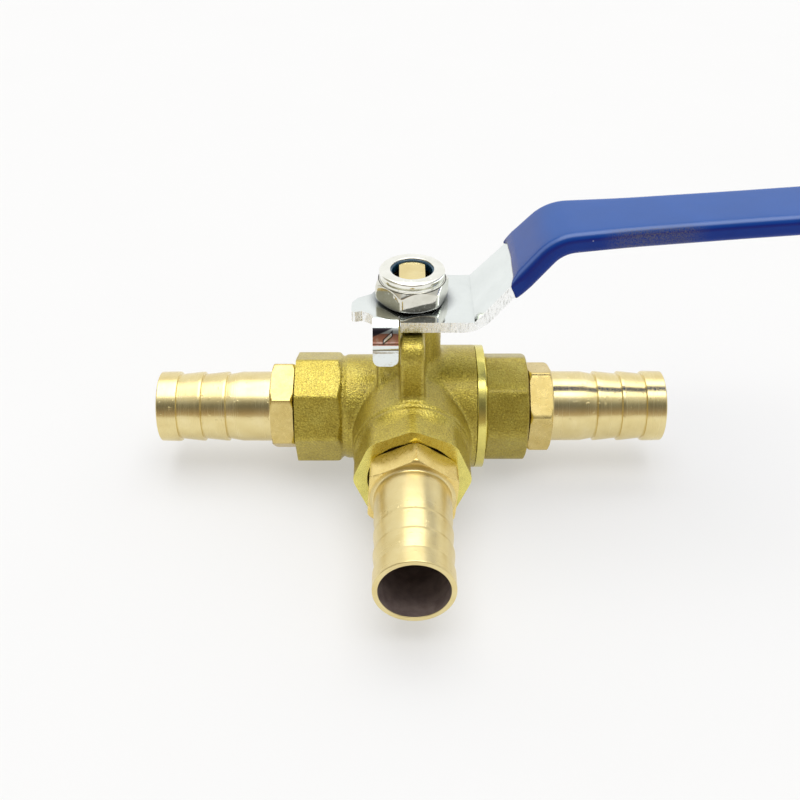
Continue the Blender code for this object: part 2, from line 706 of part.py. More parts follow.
def stem_hole():
    """Hole with two flats that turns the plate with the stem."""
    half = STEM_FLATS / 2.0 + GAP
    radius = STEM_THREAD_RADIUS + GAP
    half_angle = math.degrees(math.acos(half / radius))
    outline = arc((0.0, 0.0), radius, half_angle, 180.0 - half_angle, 8)
    outline += arc((0.0, 0.0), radius, 180.0 + half_angle, 360.0 - half_angle, 8)
    return prism("stem_hole", outline, PLATE_BOTTOM - 1.0, PLATE_BOTTOM + PLATE_THICKNESS + 1.0)


def sleeve_ring(along, half_width, half_thickness, rounding):
    """Points round one cross-section of the grip, counterclockwise seen from the tip."""
    ring = []
    corners = ((1.0, 1.0, 0.0), (-1.0, 1.0, 90.0), (-1.0, -1.0, 180.0), (1.0, -1.0, 270.0))
    for side, level, start in corners:
        centre = (side * (half_width - rounding), level * (half_thickness - rounding))
        ring += arc(centre, rounding, start, start + 90.0, 2)
    return [lever_point(along, across, off) for across, off in ring]


def sleeve_stations(end):
    """Distances along the lever at which the grip has a cross-section."""
    bends = [along for along in lever_bend_stations() if along > SLEEVE_MOUTH + 1.0]
    arm = [62.0, 76.0, 90.0]
    tip = [end - 8.0 + 8.0 * math.sin(math.radians(15.0 * i)) for i in range(6)]
    return [SLEEVE_MOUTH] + bends + arm + tip


def lever_sleeve(pivot):
    """Dipped grip: a rounded skin over the plate, hollow inside and open at its mouth."""
    plate_end = lever_end()
    wall = SLEEVE_SIDE_WALL
    outer_end = plate_end + wall
    inner_end = plate_end + GAP
    bm = bmesh.new()

    def skin(end, margin, half_thickness, rounding):
        rings = []
        tip_radius = plate_half_width(end) + margin
        for along in sleeve_stations(end):
            half_width = plate_half_width(along) + margin
            from_tip = end - along
            if from_tip < tip_radius:
                reach = tip_radius - from_tip
                half_width = math.sqrt(max(tip_radius ** 2 - reach ** 2, 0.0))
            half_width = max(half_width, rounding + 0.4)
            rings.append([bm.verts.new(p) for p in sleeve_ring(along, half_width, half_thickness, rounding)])
        for low, high in zip(rings, rings[1:]):
            for i in range(len(low)):
                bm.faces.new((low[i - 1], low[i], high[i], high[i - 1]))
        bm.faces.new(rings[-1])
        return rings[0]

    outer_mouth = skin(outer_end, wall, SLEEVE_THICKNESS / 2.0, 1.4)
    inner_mouth = skin(inner_end, GAP, PLATE_THICKNESS / 2.0 + GAP, 0.3)
    for i in range(len(outer_mouth)):
        bm.faces.new((outer_mouth[i - 1], outer_mouth[i], inner_mouth[i], inner_mouth[i - 1]))
    return hang(make_object("lever_sleeve", bm), "blue_grip", pivot)


# ---------------------------------------------------------------- lock nut

def lock_nut(pivot):
    """Hexagon nut with a round collar whose rim is rolled over the nylon insert."""
    nut = turned("lock_nut", [
        (NUT_BORE_RADIUS, NUT_BOTTOM + 1.0),
        (NUT_COLLAR_RADIUS - 0.4, NUT_BOTTOM + 1.0),
        (NUT_COLLAR_RADIUS - 0.4, NUT_HEX_TOP - 0.5),
        (NUT_COLLAR_RADIUS, NUT_HEX_TOP - 0.5),
        (NUT_COLLAR_RADIUS, NUT_TOP - 0.9),
        (NUT_COLLAR_RADIUS - 0.3, NUT_TOP - 0.3),
        (NUT_COLLAR_RADIUS - 0.9, NUT_TOP),
        (NUT_RIM_RADIUS + 0.4, NUT_TOP),
        (NUT_RIM_RADIUS, NUT_TOP - 0.3),
        (NUT_RIM_RADIUS, NUT_TOP - 0.7),
        (NUT_RECESS_RADIUS, NUT_TOP - 0.7),
        (NUT_RECESS_RADIUS, NUT_HEX_TOP - 0.2),
        (NUT_BORE_RADIUS, NUT_HEX_TOP - 0.2),
    ])
    hexagon = spanner_flats("nut_hexagon", 6, NUT_HEX_RADIUS, NUT_BOTTOM, NUT_HEX_TOP,
                            ((1.3, 1.3), (1.5, 1.5)), "up", NUT_TURN)
    hole = turned("nut_hexagon_hole", [
        (0.0, NUT_BOTTOM - 1.0), (NUT_RECESS_RADIUS + 0.5, NUT_BOTTOM - 1.0),
        (NUT_BORE_RADIUS, NUT_BOTTOM + 0.6), (NUT_BORE_RADIUS, NUT_BOTTOM + 2.0),
        (NUT_RECESS_RADIUS + 0.8, NUT_BOTTOM + 2.0), (NUT_RECESS_RADIUS + 0.8, NUT_HEX_TOP + 1.0),
        (0.0, NUT_HEX_TOP + 1.0)])
    combine(hexagon, hole, "DIFFERENCE")
    combine(nut, hexagon, "UNION")
    attach_guides(nut, pivot)
    return hang(nut, "nickel_nut", pivot)


def nut_insert(pivot):
    """Nylon ring held in the nut's collar."""
    inner = STEM_THREAD_RADIUS + 0.2
    outer = NUT_RECESS_RADIUS - 0.25
    bottom = NUT_HEX_TOP + 0.1
    top = NUT_TOP - 1.0
    ring = turned("nut_insert", [(inner, bottom), (outer, bottom), (outer, top), (inner + 0.2, top),
                                 (inner, top - 0.2)])
    return hang(ring, "nylon", pivot)


# ---------------------------------------------------------------- assembly

def build():
    clear_scene()
    valve = add_pivot("valve_centre")
    lever = add_pivot("lever_axis", valve)
    ball_axis = add_pivot("ball_axis", valve)

    valve_body(valve)
    end_cap(valve)
    cap_gasket(valve)
    for side in ("left", "right", "branch", "back"):
        seat("seat_" + side, side, valve)
    for side in ("branch", "back"):
        round_ring("seat_spring_ring_" + side, 7.4, 0.55, 11.85, side, "black_rubber", valve)
    for side, hex_turn, out in (("left", 12.8, 0.0), ("right", 10.0, 0.0), ("branch", -4.0, BRANCH_BARB_OUT)):
        hose_barb("hose_barb_" + side, side, hex_turn, out, valve)

    ball(ball_axis)

    stem(lever)
    stem_thrust_washer(lever)
    for name, height in zip(("stem_o_ring_lower", "stem_o_ring_upper"), O_RING_HEIGHTS):
        round_ring(name, 4.35, 0.5, height, "up", "black_rubber", lever)
    lever_plate(lever)
    lever_sleeve(lever)
    lock_nut(lever)
    nut_insert(lever)


build()
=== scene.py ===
"""Looks of the three way ball valve: a fine mesh and a procedural material for every piece.

Each piece is built in millimetres around the ball's centre, which the frame's lever joint gives,
and to_frame() puts it into the row frame in metres. Faces and ends come from the CAD boxes.
"""
import json
import math

import bmesh
import bpy
import numpy as np
from mathutils import Matrix, Vector


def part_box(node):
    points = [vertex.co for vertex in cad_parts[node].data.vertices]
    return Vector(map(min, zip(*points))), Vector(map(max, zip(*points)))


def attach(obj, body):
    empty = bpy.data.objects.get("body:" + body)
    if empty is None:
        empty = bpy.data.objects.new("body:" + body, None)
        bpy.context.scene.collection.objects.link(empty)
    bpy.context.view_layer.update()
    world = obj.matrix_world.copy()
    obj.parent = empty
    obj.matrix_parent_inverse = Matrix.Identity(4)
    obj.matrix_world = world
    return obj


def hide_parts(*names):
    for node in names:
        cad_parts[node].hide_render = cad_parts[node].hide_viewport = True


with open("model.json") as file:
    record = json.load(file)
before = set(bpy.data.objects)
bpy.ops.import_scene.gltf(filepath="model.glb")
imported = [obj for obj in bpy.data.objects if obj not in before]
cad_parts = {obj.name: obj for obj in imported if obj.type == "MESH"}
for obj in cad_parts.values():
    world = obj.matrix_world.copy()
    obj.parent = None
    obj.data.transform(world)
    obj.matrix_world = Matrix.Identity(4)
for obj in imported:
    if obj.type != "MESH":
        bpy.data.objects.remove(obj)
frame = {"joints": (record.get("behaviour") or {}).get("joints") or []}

MM = 0.001
TAU = 2.0 * math.pi
SIDES = 160                                   # facets round a turned surface
ANGLES = np.arange(SIDES) * TAU / SIDES
CENTRE = Vector(frame["joints"][0]["pos_m"])  # ball centre, on the stem's axis
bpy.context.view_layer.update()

# A direction's matrix turns local +Z into it, and local +X into "up" on a level port.
DIRECTIONS = {
    "left": Matrix(((0, 0, -1), (0, 1, 0), (1, 0, 0))),
    "right": Matrix(((0, 0, 1), (0, -1, 0), (1, 0, 0))),
    "branch": Matrix(((0, -1, 0), (0, 0, -1), (1, 0, 0))),
    "back": Matrix(((0, 1, 0), (0, 0, 1), (1, 0, 0))),
    "up": Matrix.Identity(3),
}


def local_box(node):
    """Lowest and highest corner of a CAD node, in millimetres from the ball's centre."""
    low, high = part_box(node)
    return (low - CENTRE) / MM, (high - CENTRE) / MM


BODY_LOW, BODY_HIGH = local_box("valve_body")
CAP_FACE = local_box("end_cap")[1].x
STEM_LOW, STEM_HIGH = local_box("stem")
NUT_LOW, NUT_HIGH = local_box("lock_nut")
TAB_BOTTOM = local_box("lever_plate")[0].z
GRIP_REACH = local_box("lever_sleeve")[1].x

LEFT_FACE = -BODY_LOW.x
BRANCH_FACE = -BODY_LOW.y
PARTING = BODY_HIGH.x
BOSS_TOP = BODY_HIGH.z
HOUSING_RADIUS = BODY_HIGH.y
NECK_RADIUS = 14.4
BRANCH_NECK_RADIUS = 15.7
OCTAGON_RADIUS = 15.4
BOSS_RADIUS = 7.7
PORT_BORE_RADIUS = 10.6
PASSAGE_RADIUS = 6.3
SEAT_POCKET_RADIUS = 8.4
CAVITY_RADIUS = 12.0
PORT_BORE_BOTTOM = 18.0
THREAD_PITCH = 1.814                          # G1/2
THREAD_DEPTH = 1.0


# ---------------------------------------------------------------- meshes

def to_frame(name, verts, faces, direction="up"):
    """Mesh object in the row frame, from millimetre points around the ball's centre."""
    turn = np.array(DIRECTIONS[direction], float)
    placed = np.asarray(verts, float) @ turn.T * MM + np.array(CENTRE)
    mesh = bpy.data.meshes.new(name)
    mesh.from_pydata(placed.tolist(), [], faces)
    bm = bmesh.new()
    bm.from_mesh(mesh)
    bmesh.ops.remove_doubles(bm, verts=bm.verts, dist=1e-7)
    bmesh.ops.recalc_face_normals(bm, faces=bm.faces)
    bm.to_mesh(mesh)
    bm.free()
    made = bpy.data.objects.new(name, mesh)
    bpy.context.scene.collection.objects.link(made)
    return made


def smooth(piece, degrees):
    """Shade round surfaces smooth, keep edges sharper than the angle crisp and big faces flat."""
    piece.data.shade_smooth()
    piece.data.set_sharp_from_angle(angle=math.radians(degrees))
    weighted = piece.modifiers.new("weighted", "WEIGHTED_NORMAL")
    weighted.keep_sharp = True


def spun(name, rows, direction="up", closed=True):
    """Mesh of a turned piece. Each row is (distance along, radius); both may vary round the piece."""
    verts = []
    for along, radius in rows:
        radius = np.broadcast_to(radius, SIDES)
        along = np.broadcast_to(along, SIDES)
        verts.append(np.stack([radius * np.cos(ANGLES), radius * np.sin(ANGLES), along], 1))
    faces = []
    bands = len(rows) if closed else len(rows) - 1
    for i in range(bands):
        low = i * SIDES
        high = (i + 1) % len(rows) * SIDES
        for k in range(SIDES):
            after = (k + 1) % SIDES
            faces.append((low + k, low + after, high + after, high + k))
    return to_frame(name, np.concatenate(verts), faces, direction)


def rounded(corners, closed=True, steps=4):
    """Rows of a profile whose corners are rounded. Each corner is (radius, distance, rounding)."""
    rows = []
    count = len(corners)
    for i, (radius, along, rounding) in enumerate(corners):
        here = Vector((radius, along))
        at_end = not closed and i in (0, count - 1)
        if rounding == 0.0 or at_end:
            rows.append((along, radius))
            continue
        before = Vector(corners[i - 1][:2]) - here
        after = Vector(corners[(i + 1) % count][:2]) - here
        half = before.angle(after) / 2.0
        setback = min(rounding / math.tan(half), 0.48 * before.length, 0.48 * after.length)
        size = setback * math.tan(half)
        middle = here + (before.normalized() + after.normalized()).normalized() * (size / math.sin(half))
        first = here + before.normalized() * setback - middle
        last = here + after.normalized() * setback - middle
        start = math.atan2(first.y, first.x)
        sweep = (math.atan2(last.y, last.x) - start + math.pi) % TAU - math.pi
        for k in range(steps + 1):
            angle = start + sweep * k / steps
            rows.append((middle.y + size * math.sin(angle), middle.x + size * math.cos(angle)))
    return rows


def smooth_min(a, b, width):
    """The smaller of a and b, blended over a band of the given width."""
    mix = np.maximum(width - np.abs(a - b), 0.0) / width
    return np.minimum(a, b) - mix * mix * width / 4.0


def smooth_max(a, b, width):
    return -smooth_min(-a, -b, width)


def flats(sides, across_corners, turn=0.0, corner_cut=0.05):
    """Radius of a polygon's outline at each angle, its corners eased by corner_cut."""
    step = TAU / sides
    off = (ANGLES - turn) % step - step / 2.0
    outline = across_corners * math.cos(step / 2.0) / np.cos(off)
    return smooth_min(outline, across_corners - corner_cut, 2.0 * corner_cut + 0.1)


def nut_rows(outline, start, end, start_chamfer, end_chamfer, easing=0.18):
    """Rows of a hexagon or octagon with its corners turned off at both ends.

    A chamfer is (radius on the end face, radius gained per millimetre of length).
    """
    length = end - start
    fine = [0.0, 0.04, 0.12, 0.25, 0.45, 0.7, 1.0, 1.4, 1.9]
    depths = [d for d in fine if d < length / 2.0]
    distances = depths + [length / 2.0] + [length - d for d in reversed(depths)]
    rows = []
    for d in distances:
        cap = min(start_chamfer[0] + start_chamfer[1] * d, end_chamfer[0] + end_chamfer[1] * (length - d))
        edge = 0.12 * max(0.0, 1.0 - min(d, length - d) / 0.12)
        rows.append((start + d, smooth_min(outline, cap, easing) - edge))
    return rows


def thread_rows(radius, start, end, outward=True, pitch=THREAD_PITCH, depth=THREAD_DEPTH, fade=0.8):
    """Rows of a screw thread: a rounded V that climbs one pitch each turn and fades out at its ends."""
    rows = []
    per_pitch = 8
    count = int(round((end - start) / pitch * per_pitch))
    for i in range(count + 1):
        along = start + (end - start) * i / count
        phase = along / pitch - ANGLES / TAU
        ridge = np.abs(2.0 * (phase - np.floor(phase + 0.5)))
        ridge = ridge * ridge * (3.0 - 2.0 * ridge)
        strength = min(1.0, (along - start) / fade, (end - along) / fade)
        rows.append((along, radius - depth * strength * (ridge if outward else -ridge)))
    return rows


def paint(piece, materials, choose):
    """Give each face the material that choose() names for its middle, in millimetres from the ball's."""
    names = list(materials)
    for name in names:
        piece.data.materials.append(materials[name])
    for face in piece.data.polygons:
        face.material_index = names.index(choose((face.center - CENTRE) / MM))


def cut(piece, cutter, operation="DIFFERENCE"):
    """Cut a piece and keep the result; the cut faces keep the cutter's material."""
    modifier = piece.modifiers.new("cut", "BOOLEAN")
    modifier.operation = operation
    modifier.solver = "EXACT"
    modifier.material_mode = "TRANSFER"
    modifier.object = cutter
    graph = bpy.context.evaluated_depsgraph_get()
    result = bpy.data.meshes.new_from_object(piece.evaluated_get(graph))
    piece.modifiers.clear()
    piece.data = result
    bpy.data.objects.remove(cutter, do_unlink=True)
    return piece


def turned_solid(name, rows, direction, material):
    """Turned solid in one material, which the faces that it cuts take over."""
    made = spun(name, rows, direction, closed=False)
    made.data.materials.append(material)
    return made


def rod(name, radius, low, high, direction, material):
    """Plain round cutter between two distances along a direction."""
    rows = [(low, 0.0), (low, radius), (high, radius), (high, 0.0)]
    return turned_solid(name, rows, direction, material)


def stand_in(piece, node, body, degrees):
    """The fine piece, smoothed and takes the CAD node's place on its body."""
    smooth(piece, degrees)
    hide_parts(node)
    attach(piece, body)


# ---------------------------------------------------------------- material nodes

class Nodes:
    """Helpers that add nodes to a tree; a value may be a number, a colour or another node's output."""

    def __init__(self, tree):
        self.tree = tree

    def node(self, kind, **settings):
        made = self.tree.nodes.new("ShaderNode" + kind)
        for key, value in settings.items():
            setattr(made, key, value)
        return made

    def feed(self, value, socket):
        if isinstance(value, (int, float)):
            socket.default_value = value
        elif isinstance(value, tuple):
            socket.default_value = (*value, 1.0)
        else:
            self.tree.links.new(value, socket)

    def ramp(self, value, stops):
        """Colour ramp; each stop is (position, colour or grey)."""
        made = self.node("ValToRGB")
        elements = made.color_ramp.elements
        while len(elements) < len(stops):
            elements.new(0.5)
        for element, (position, colour) in zip(elements, stops):
            element.position = position
            grey = isinstance(colour, float)
            element.color = (colour, colour, colour, 1.0) if grey else (*colour, 1.0)
        self.feed(value, made.inputs["Fac"])
        return made.outputs["Color"]

    def range(self, value, low, high, from_low=0.3, from_high=0.7, soft=False):
        """Spread a value over low..high."""
        made = self.node("MapRange", interpolation_type="SMOOTHSTEP" if soft else "LINEAR")
        ends = {"From Min": from_low, "From Max": from_high, "To Min": low, "To Max": high}
        for key, number in ends.items():
            made.inputs[key].default_value = number
        self.feed(value, made.inputs["Value"])
        return made.outputs["Result"]

    def mix(self, factor, first, second):
        made = self.node("Mix", data_type="RGBA")
        self.feed(factor, made.inputs[0])
        self.feed(first, made.inputs[6])
        self.feed(second, made.inputs[7])
        return made.outputs[2]

    def math(self, operation, first, second=0.0):
        made = self.node("Math", operation=operation)
        self.feed(first, made.inputs[0])
        self.feed(second, made.inputs[1])
        return made.outputs["Value"]

    def product(self, first, *others):
        for value in others:
            first = self.math("MULTIPLY", first, value)
        return first

    def split(self, vector):
        """X, Y and Z of a vector, under their names."""
        made = self.node("SeparateXYZ")
        self.feed(vector, made.inputs["Vector"])
        return made.outputs


class Finish(Nodes):
    """A Principled material with the procedural patterns that feed it."""

    def __init__(self, name, metallic=1.0):
        self.material = bpy.data.materials.new(name)
        self.material.use_nodes = True
        super().__init__(self.material.node_tree)
        self.shader = self.tree.nodes["Principled BSDF"]
        self.set("Metallic", metallic)
        self.coordinates = self.node("TexCoord").outputs["Object"]
        self.place = self.split(self.coordinates)

    def set(self, socket, value):
        self.feed(value, self.shader.inputs[socket])

    def brushed(self, axis, amount):
        """Spread reflections along the given axis, as grooves turned round it do."""
        tangent = self.node("Tangent", direction_type="RADIAL", axis=axis)
        self.set("Tangent", tangent.outputs["Tangent"])
        self.set("Anisotropic", amount)
        self.set("Anisotropic Rotation", 0.25)

    def stretched(self, scale):
        """Object coordinates multiplied by a scale for each axis, in cycles per metre."""
        mapping = self.node("Mapping")
        mapping.inputs["Scale"].default_value = scale
        self.feed(self.coordinates, mapping.inputs["Vector"])
        return mapping.outputs["Vector"]

    def noise(self, size_mm, detail=3.0, roughness=0.55, stretch=(1.0, 1.0, 1.0)):
        """Noise with features of about size_mm, stretched by a factor on each axis."""
        made = self.node("TexNoise")
        scale = [1.0 / (size_mm * MM * s) for s in stretch]
        self.feed(self.stretched(scale), made.inputs["Vector"])
        made.inputs["Scale"].default_value = 1.0
        made.inputs["Detail"].default_value = detail
        made.inputs["Roughness"].default_value = roughness
        return made.outputs["Fac"]

    def cells(self, size_mm):
        """Distance to the middle of cells of about size_mm."""
        made = self.node("TexVoronoi")
        self.feed(self.stretched([1.0 / (size_mm * MM)] * 3), made.inputs["Vector"])
        made.inputs["Scale"].default_value = 1.0
        return made.outputs["Distance"]

    def patches(self, size_mm, dark, light, detail=3.0, low=0.35, high=0.65):
        """Colour that clouds over between two tones, in patches of about size_mm."""
        return self.ramp(self.noise(size_mm, detail), [(low, dark), (high, light)])

    def roughen(self, size_mm, low, high, detail=3.0):
        """Let the roughness wander between two values."""
        self.set("Roughness", self.range(self.noise(size_mm, detail), low, high))

    def band(self, axis, low_mm, high_mm, fade_mm):
        """1 between two places on an axis, measured from the ball's centre, fading out inside them."""
        place = self.place[axis]
        low, high = (CENTRE["XYZ".index(axis)] + edge * MM for edge in (low_mm, high_mm))
        rise = self.range(place, 0.0, 1.0, low, low + fade_mm * MM, soft=True)
        fall = self.range(place, 1.0, 0.0, high - fade_mm * MM, high, soft=True)
        return self.product(rise, fall)

    def bump(self, height, depth_mm):
        """Add a height pattern to the surface normal, depth_mm from its 0 to its 1."""
        made = self.node("Bump")
        made.inputs["Strength"].default_value = 1.0
        made.inputs["Distance"].default_value = depth_mm * MM
        self.feed(height, made.inputs["Height"])
        normal = self.shader.inputs["Normal"]
        if normal.is_linked:
            self.feed(normal.links[0].from_socket, made.inputs["Normal"])
        self.feed(made.outputs["Normal"], normal)


def shaded(colour, shade):
    return tuple(c * shade for c in colour)


def forged_brass(name="forged_brass", shade=1.0):
    """Shot-blasted brass: fine dimples that glitter, with cloudy patches."""
    f = Finish(name)
    grain = f.noise(0.42, detail=2.0)
    stops = [(0.3, (0.56, 0.46, 0.07)), (0.5, (0.64, 0.53, 0.09)), (0.72, (0.69, 0.6, 0.12))]
    colour = f.ramp(f.noise(5.0, detail=4.0), [(at, shaded(tone, shade)) for at, tone in stops])
    f.set("Base Color", f.mix(f.range(grain, 0.7, 0.0), colour, (0.24, 0.16, 0.01)))
    f.set("Coat Weight", 0.5)
    f.set("Coat Roughness", 0.3)
    f.roughen(0.3, 0.36, 0.55, detail=1.0)
    f.bump(f.cells(0.5), 0.09)
    f.bump(grain, 0.11)
    f.bump(f.noise(2.4, detail=2.0), 0.08)
    return f.material


def machined_brass(name="machined_brass", colour=(0.84, 0.76, 0.22), roughness=0.22):
    """Faced-off brass: smooth, bright yellow, with faint tool marks."""
    f = Finish(name)
    f.set("Base Color", f.patches(4.0, shaded(colour, 0.86), colour, detail=4.0))
    f.roughen(0.6, roughness, roughness + 0.12)
    f.bump(f.noise(0.25, detail=2.0), 0.012)
    return f.material


def turned_brass(name, axis, roughness=0.19):
    """Lathe-turned pale brass with rings around the given axis (0, 1 or 2)."""
    f = Finish(name)
    f.brushed("XYZ"[axis], 0.3)
    along = [40.0, 40.0, 40.0]
    along[axis] = 0.16
    rings = f.noise(1.0, stretch=along)
    along[axis] = 0.9
    waves = f.noise(1.0, detail=2.0, stretch=along)
    stops = [(0.3, (0.76, 0.62, 0.29)), (0.55, (0.81, 0.68, 0.34)), (0.75, (0.84, 0.72, 0.4))]
    f.set("Base Color", f.ramp(f.noise(5.0, detail=4.0), stops))
    f.set("Roughness", f.range(rings, roughness, roughness + 0.09))
    f.bump(rings, 0.0045)
    f.bump(waves, 0.008)
    f.bump(f.range(f.noise(1.1, detail=1.0), 0.0, 1.0, 0.7, 0.76), 0.03)
    return f.material


def drawn_brass(name="drawn_brass", shade=1.0):
    """Hexagon bar: satin drawn flats, slightly deeper yellow than the turned barbs."""
    f = Finish(name)
    dark, light = shaded((0.64, 0.49, 0.17), shade), shaded((0.74, 0.59, 0.24), shade)
    f.set("Base Color", f.patches(3.5, dark, light, detail=4.0, low=0.3, high=0.7))
    f.roughen(0.8, 0.24, 0.38)
    f.bump(f.noise(1.6), 0.02)
    f.bump(f.noise(0.3, detail=2.0), 0.006)
    return f.material


def shaded_thread_brass():
    """Screw thread painted dark brown: painted shade in the narrow gap between the hexagon and the port."""
    f = Finish("shaded_thread_brass")
    f.set("Base Color", f.patches(1.0, (0.12, 0.075, 0.03), (0.28, 0.18, 0.07), detail=4.0))
    f.roughen(0.5, 0.4, 0.65)
    f.bump(f.noise(0.4), 0.02)
    return f.material


def dark_bore():
    """Inside of a drilled hose tail: brown, tarnished and rough."""
    f = Finish("dark_bore", 0.2)
    f.set("Base Color", f.patches(3.0, (0.2, 0.15, 0.14), (0.34, 0.27, 0.24), detail=4.0, high=0.7))
    f.roughen(0.8, 0.35, 0.6)
    f.bump(f.noise(0.4), 0.03)
    return f.material


def chrome(name="chrome"):
    """Bright plating on pressed steel: a mirror with faint waves and wipe marks, with painted shade next to
    the nut.
    """
    f = Finish(name)
    # Painted shade: the plate's colour darkens by ambient occlusion where the plate meets the nut, standing
    # in for the nut's dark reflection.
    nearby = f.node("AmbientOcclusion")
    nearby.inputs["Distance"].default_value = 6.0 * MM
    nut_shade = f.range(nearby.outputs["AO"], 1.0, 0.0, 0.52, 0.82)
    plated = f.patches(9.0, (0.77, 0.81, 0.79), (0.82, 0.86, 0.84))
    f.set("Base Color", f.mix(nut_shade, plated, (0.13, 0.14, 0.15)))
    f.roughen(1.6, 0.04, 0.13, detail=5.0)
    f.bump(f.noise(3.5, detail=2.0), 0.006)
    f.bump(f.noise(0.5), 0.002)
    return f


def painted_tab_chrome():
    """Chrome over a stop tab's bend, with a painted brown reflection and a painted dark reflection on it, and
    a tool mark.
    """
    f = chrome("painted_tab_chrome")

    def above(slope, x_mm, z_mm):
        """Height above a slanting line through a place on the tab."""
        level = CENTRE.z + (z_mm - slope * x_mm) * MM
        rise = f.math("MULTIPLY", f.place["X"], slope)
        return f.math("SUBTRACT", f.math("SUBTRACT", f.place["Z"], rise), level)

    # Painted reflection: a brown, copper-coloured patch across the tab's bend.
    brown_reflection_area = f.product(f.band("Z", 29.1, 32.2, 0.15), f.range(f.noise(1.6), 0.7, 1.0, 0.3, 0.5))
    brown_reflection = f.mix(brown_reflection_area, (0.8, 0.84, 0.82), (0.47, 0.24, 0.18))
    # The painted dark reflection narrows towards the right, because its lower edge rises.
    wedge = f.range(above(0.36, -11.0, 30.9), 0.0, 1.0, 0.0, 0.3 * MM, soft=True)
    dark_reflection = f.product(f.band("Z", 20.0, 33.4, 0.3), wedge)
    painted_reflections = f.mix(dark_reflection, brown_reflection, (0.07, 0.06, 0.075))
    # The mark is a short slanting ridge; its top is a painted highlight and its foot a painted shadow.
    away = f.math("ABSOLUTE", above(0.85, -6.1, 31.2))
    foot_shadow = f.product(f.range(away, 1.0, 0.0, 0.6 * MM, 0.8 * MM), f.band("X", -7.6, -4.8, 0.3))
    ridge = f.product(f.range(away, 1.0, 0.0, 0.2 * MM, 0.45 * MM), f.band("X", -7.3, -5.1, 0.4))
    f.set("Base Color", f.mix(ridge, f.mix(foot_shadow, painted_reflections, (0.06, 0.05, 0.05)), (0.9, 0.9, 0.9)))
    f.bump(ridge, 0.12)
    f.bump(f.product(f.band("Z", 20.0, 27.6, 0.6), f.noise(0.8)), 0.06)
    return f.material


def sheared_chrome():
    """The plate's cut edge: torn streaks across the sheet's thickness, plated over."""
    f = Finish("sheared_chrome")
    streaks = f.noise(0.4, stretch=(1.0, 1.0, 4.0))
    f.set("Base Color", f.ramp(streaks, [(0.32, (0.66, 0.67, 0.65)), (0.46, (0.96, 0.97, 0.96))]))
    f.roughen(0.4, 0.2, 0.4)
    f.bump(streaks, 0.026)
    f.bump(f.noise(0.3), 0.01)
    return f.material


def nickel():
    """Nickel plate on the lock nut: warm grey, slightly soft reflections, small dings, and painted shade
    below the rim.
    """
    f = Finish("nickel")
    plated = f.patches(4.0, (0.84, 0.84, 0.76), (0.93, 0.93, 0.86), detail=4.0, low=0.3)
    lower_shade = f.patches(3.0, (0.68, 0.67, 0.58), (0.8, 0.79, 0.71), detail=4.0, low=0.3)
    # Painted shade: the hexagon and collar below the rim are darker than the rim.
    f.set("Base Color", f.mix(f.band("Z", 30.0, 41.2, 0.6), plated, lower_shade))
    f.roughen(0.9, 0.04, 0.12, detail=4.0)
    f.bump(f.noise(1.8), 0.012)
    f.bump(f.range(f.noise(0.7, detail=1.0), 0.0, 1.0, 0.68, 0.74), 0.015)
    return f.material


def blue_vinyl():
    """Dip-moulded grip: glossy deep blue, with a painted lighter top, painted highlights on the upper edges
    and painted shade below them, grey scuffs and pale specks.
    """
    f = Finish("blue_vinyl", 0.0)
    facing = f.split(f.node("TexCoord").outputs["Normal"])
    up, outward = facing["Z"], f.math("ABSOLUTE", facing["Y"])
    colour = f.patches(12.0, (0.001, 0.026, 0.24), (0.001, 0.032, 0.27))
    # Painted light: the faces that look up are lighter than the sides.
    colour = f.mix(f.range(up, 0.0, 0.12, 0.3, 0.9), colour, (0.07, 0.46, 1.0))
    # The rounded upper edges are a painted highlight, and the plastic is darkest just below them as painted
    # shade.
    below = f.product(f.range(up, 0.0, 1.0, 0.03, 0.15), f.range(up, 1.0, 0.0, 0.25, 0.45))
    colour = f.mix(below, colour, (0.0005, 0.012, 0.19))
    edge_highlight = f.product(f.range(outward, 0.0, 0.28, 0.25, 0.5, soft=True),
                       f.range(outward, 1.0, 0.0, 0.6, 0.8, soft=True), f.range(up, 0.0, 1.0, 0.1, 0.4))
    colour = f.mix(edge_highlight, colour, (0.3, 0.42, 0.8))
    # The scuffs and specks keep to the front edge.
    scuffs = f.product(f.range(f.noise(0.35, detail=5.0, roughness=0.8), 0.05, 0.95, 0.42, 0.66),
                       f.band("X", 44.0, 72.0, 8.0), f.band("Y", -14.0, -8.0, 1.2))
    colour = f.mix(scuffs, colour, (0.13, 0.125, 0.14))
    specks = f.product(f.range(f.cells(3.2), 0.5, 0.0, 0.04, 0.07), f.band("Y", -14.0, -8.3, 0.5))
    f.set("Base Color", f.mix(specks, colour, (0.5, 0.5, 0.6)))
    f.set("Specular IOR Level", f.range(up, 0.2, 0.36, 0.1, 0.5))
    f.roughen(2.0, 0.16, 0.24, detail=4.0)
    f.bump(f.noise(0.7), 0.004)
    f.bump(f.noise(6.0, detail=2.0), 0.05)
    return f.material


def nylon():
    f = Finish("nylon", 0.0)
    f.set("Base Color", f.patches(1.5, (0.006, 0.03, 0.06), (0.012, 0.06, 0.1)))
    f.set("Roughness", 0.15)
    f.set("Coat Weight", 0.6)
    f.set("Coat Tint", (0.5, 0.85, 1.0))
    f.bump(f.noise(0.5), 0.02)
    return f.material


def ptfe():
    f = Finish("ptfe", 0.0)
    f.set("Base Color", f.patches(2.0, (0.8, 0.8, 0.78), (0.88, 0.88, 0.86)))
    f.set("Roughness", 0.4)
    f.set("Subsurface Weight", 0.1)
    f.shader.inputs["Subsurface Radius"].default_value = (MM, MM, MM)
    f.bump(f.noise(0.4), 0.01)
    return f.material


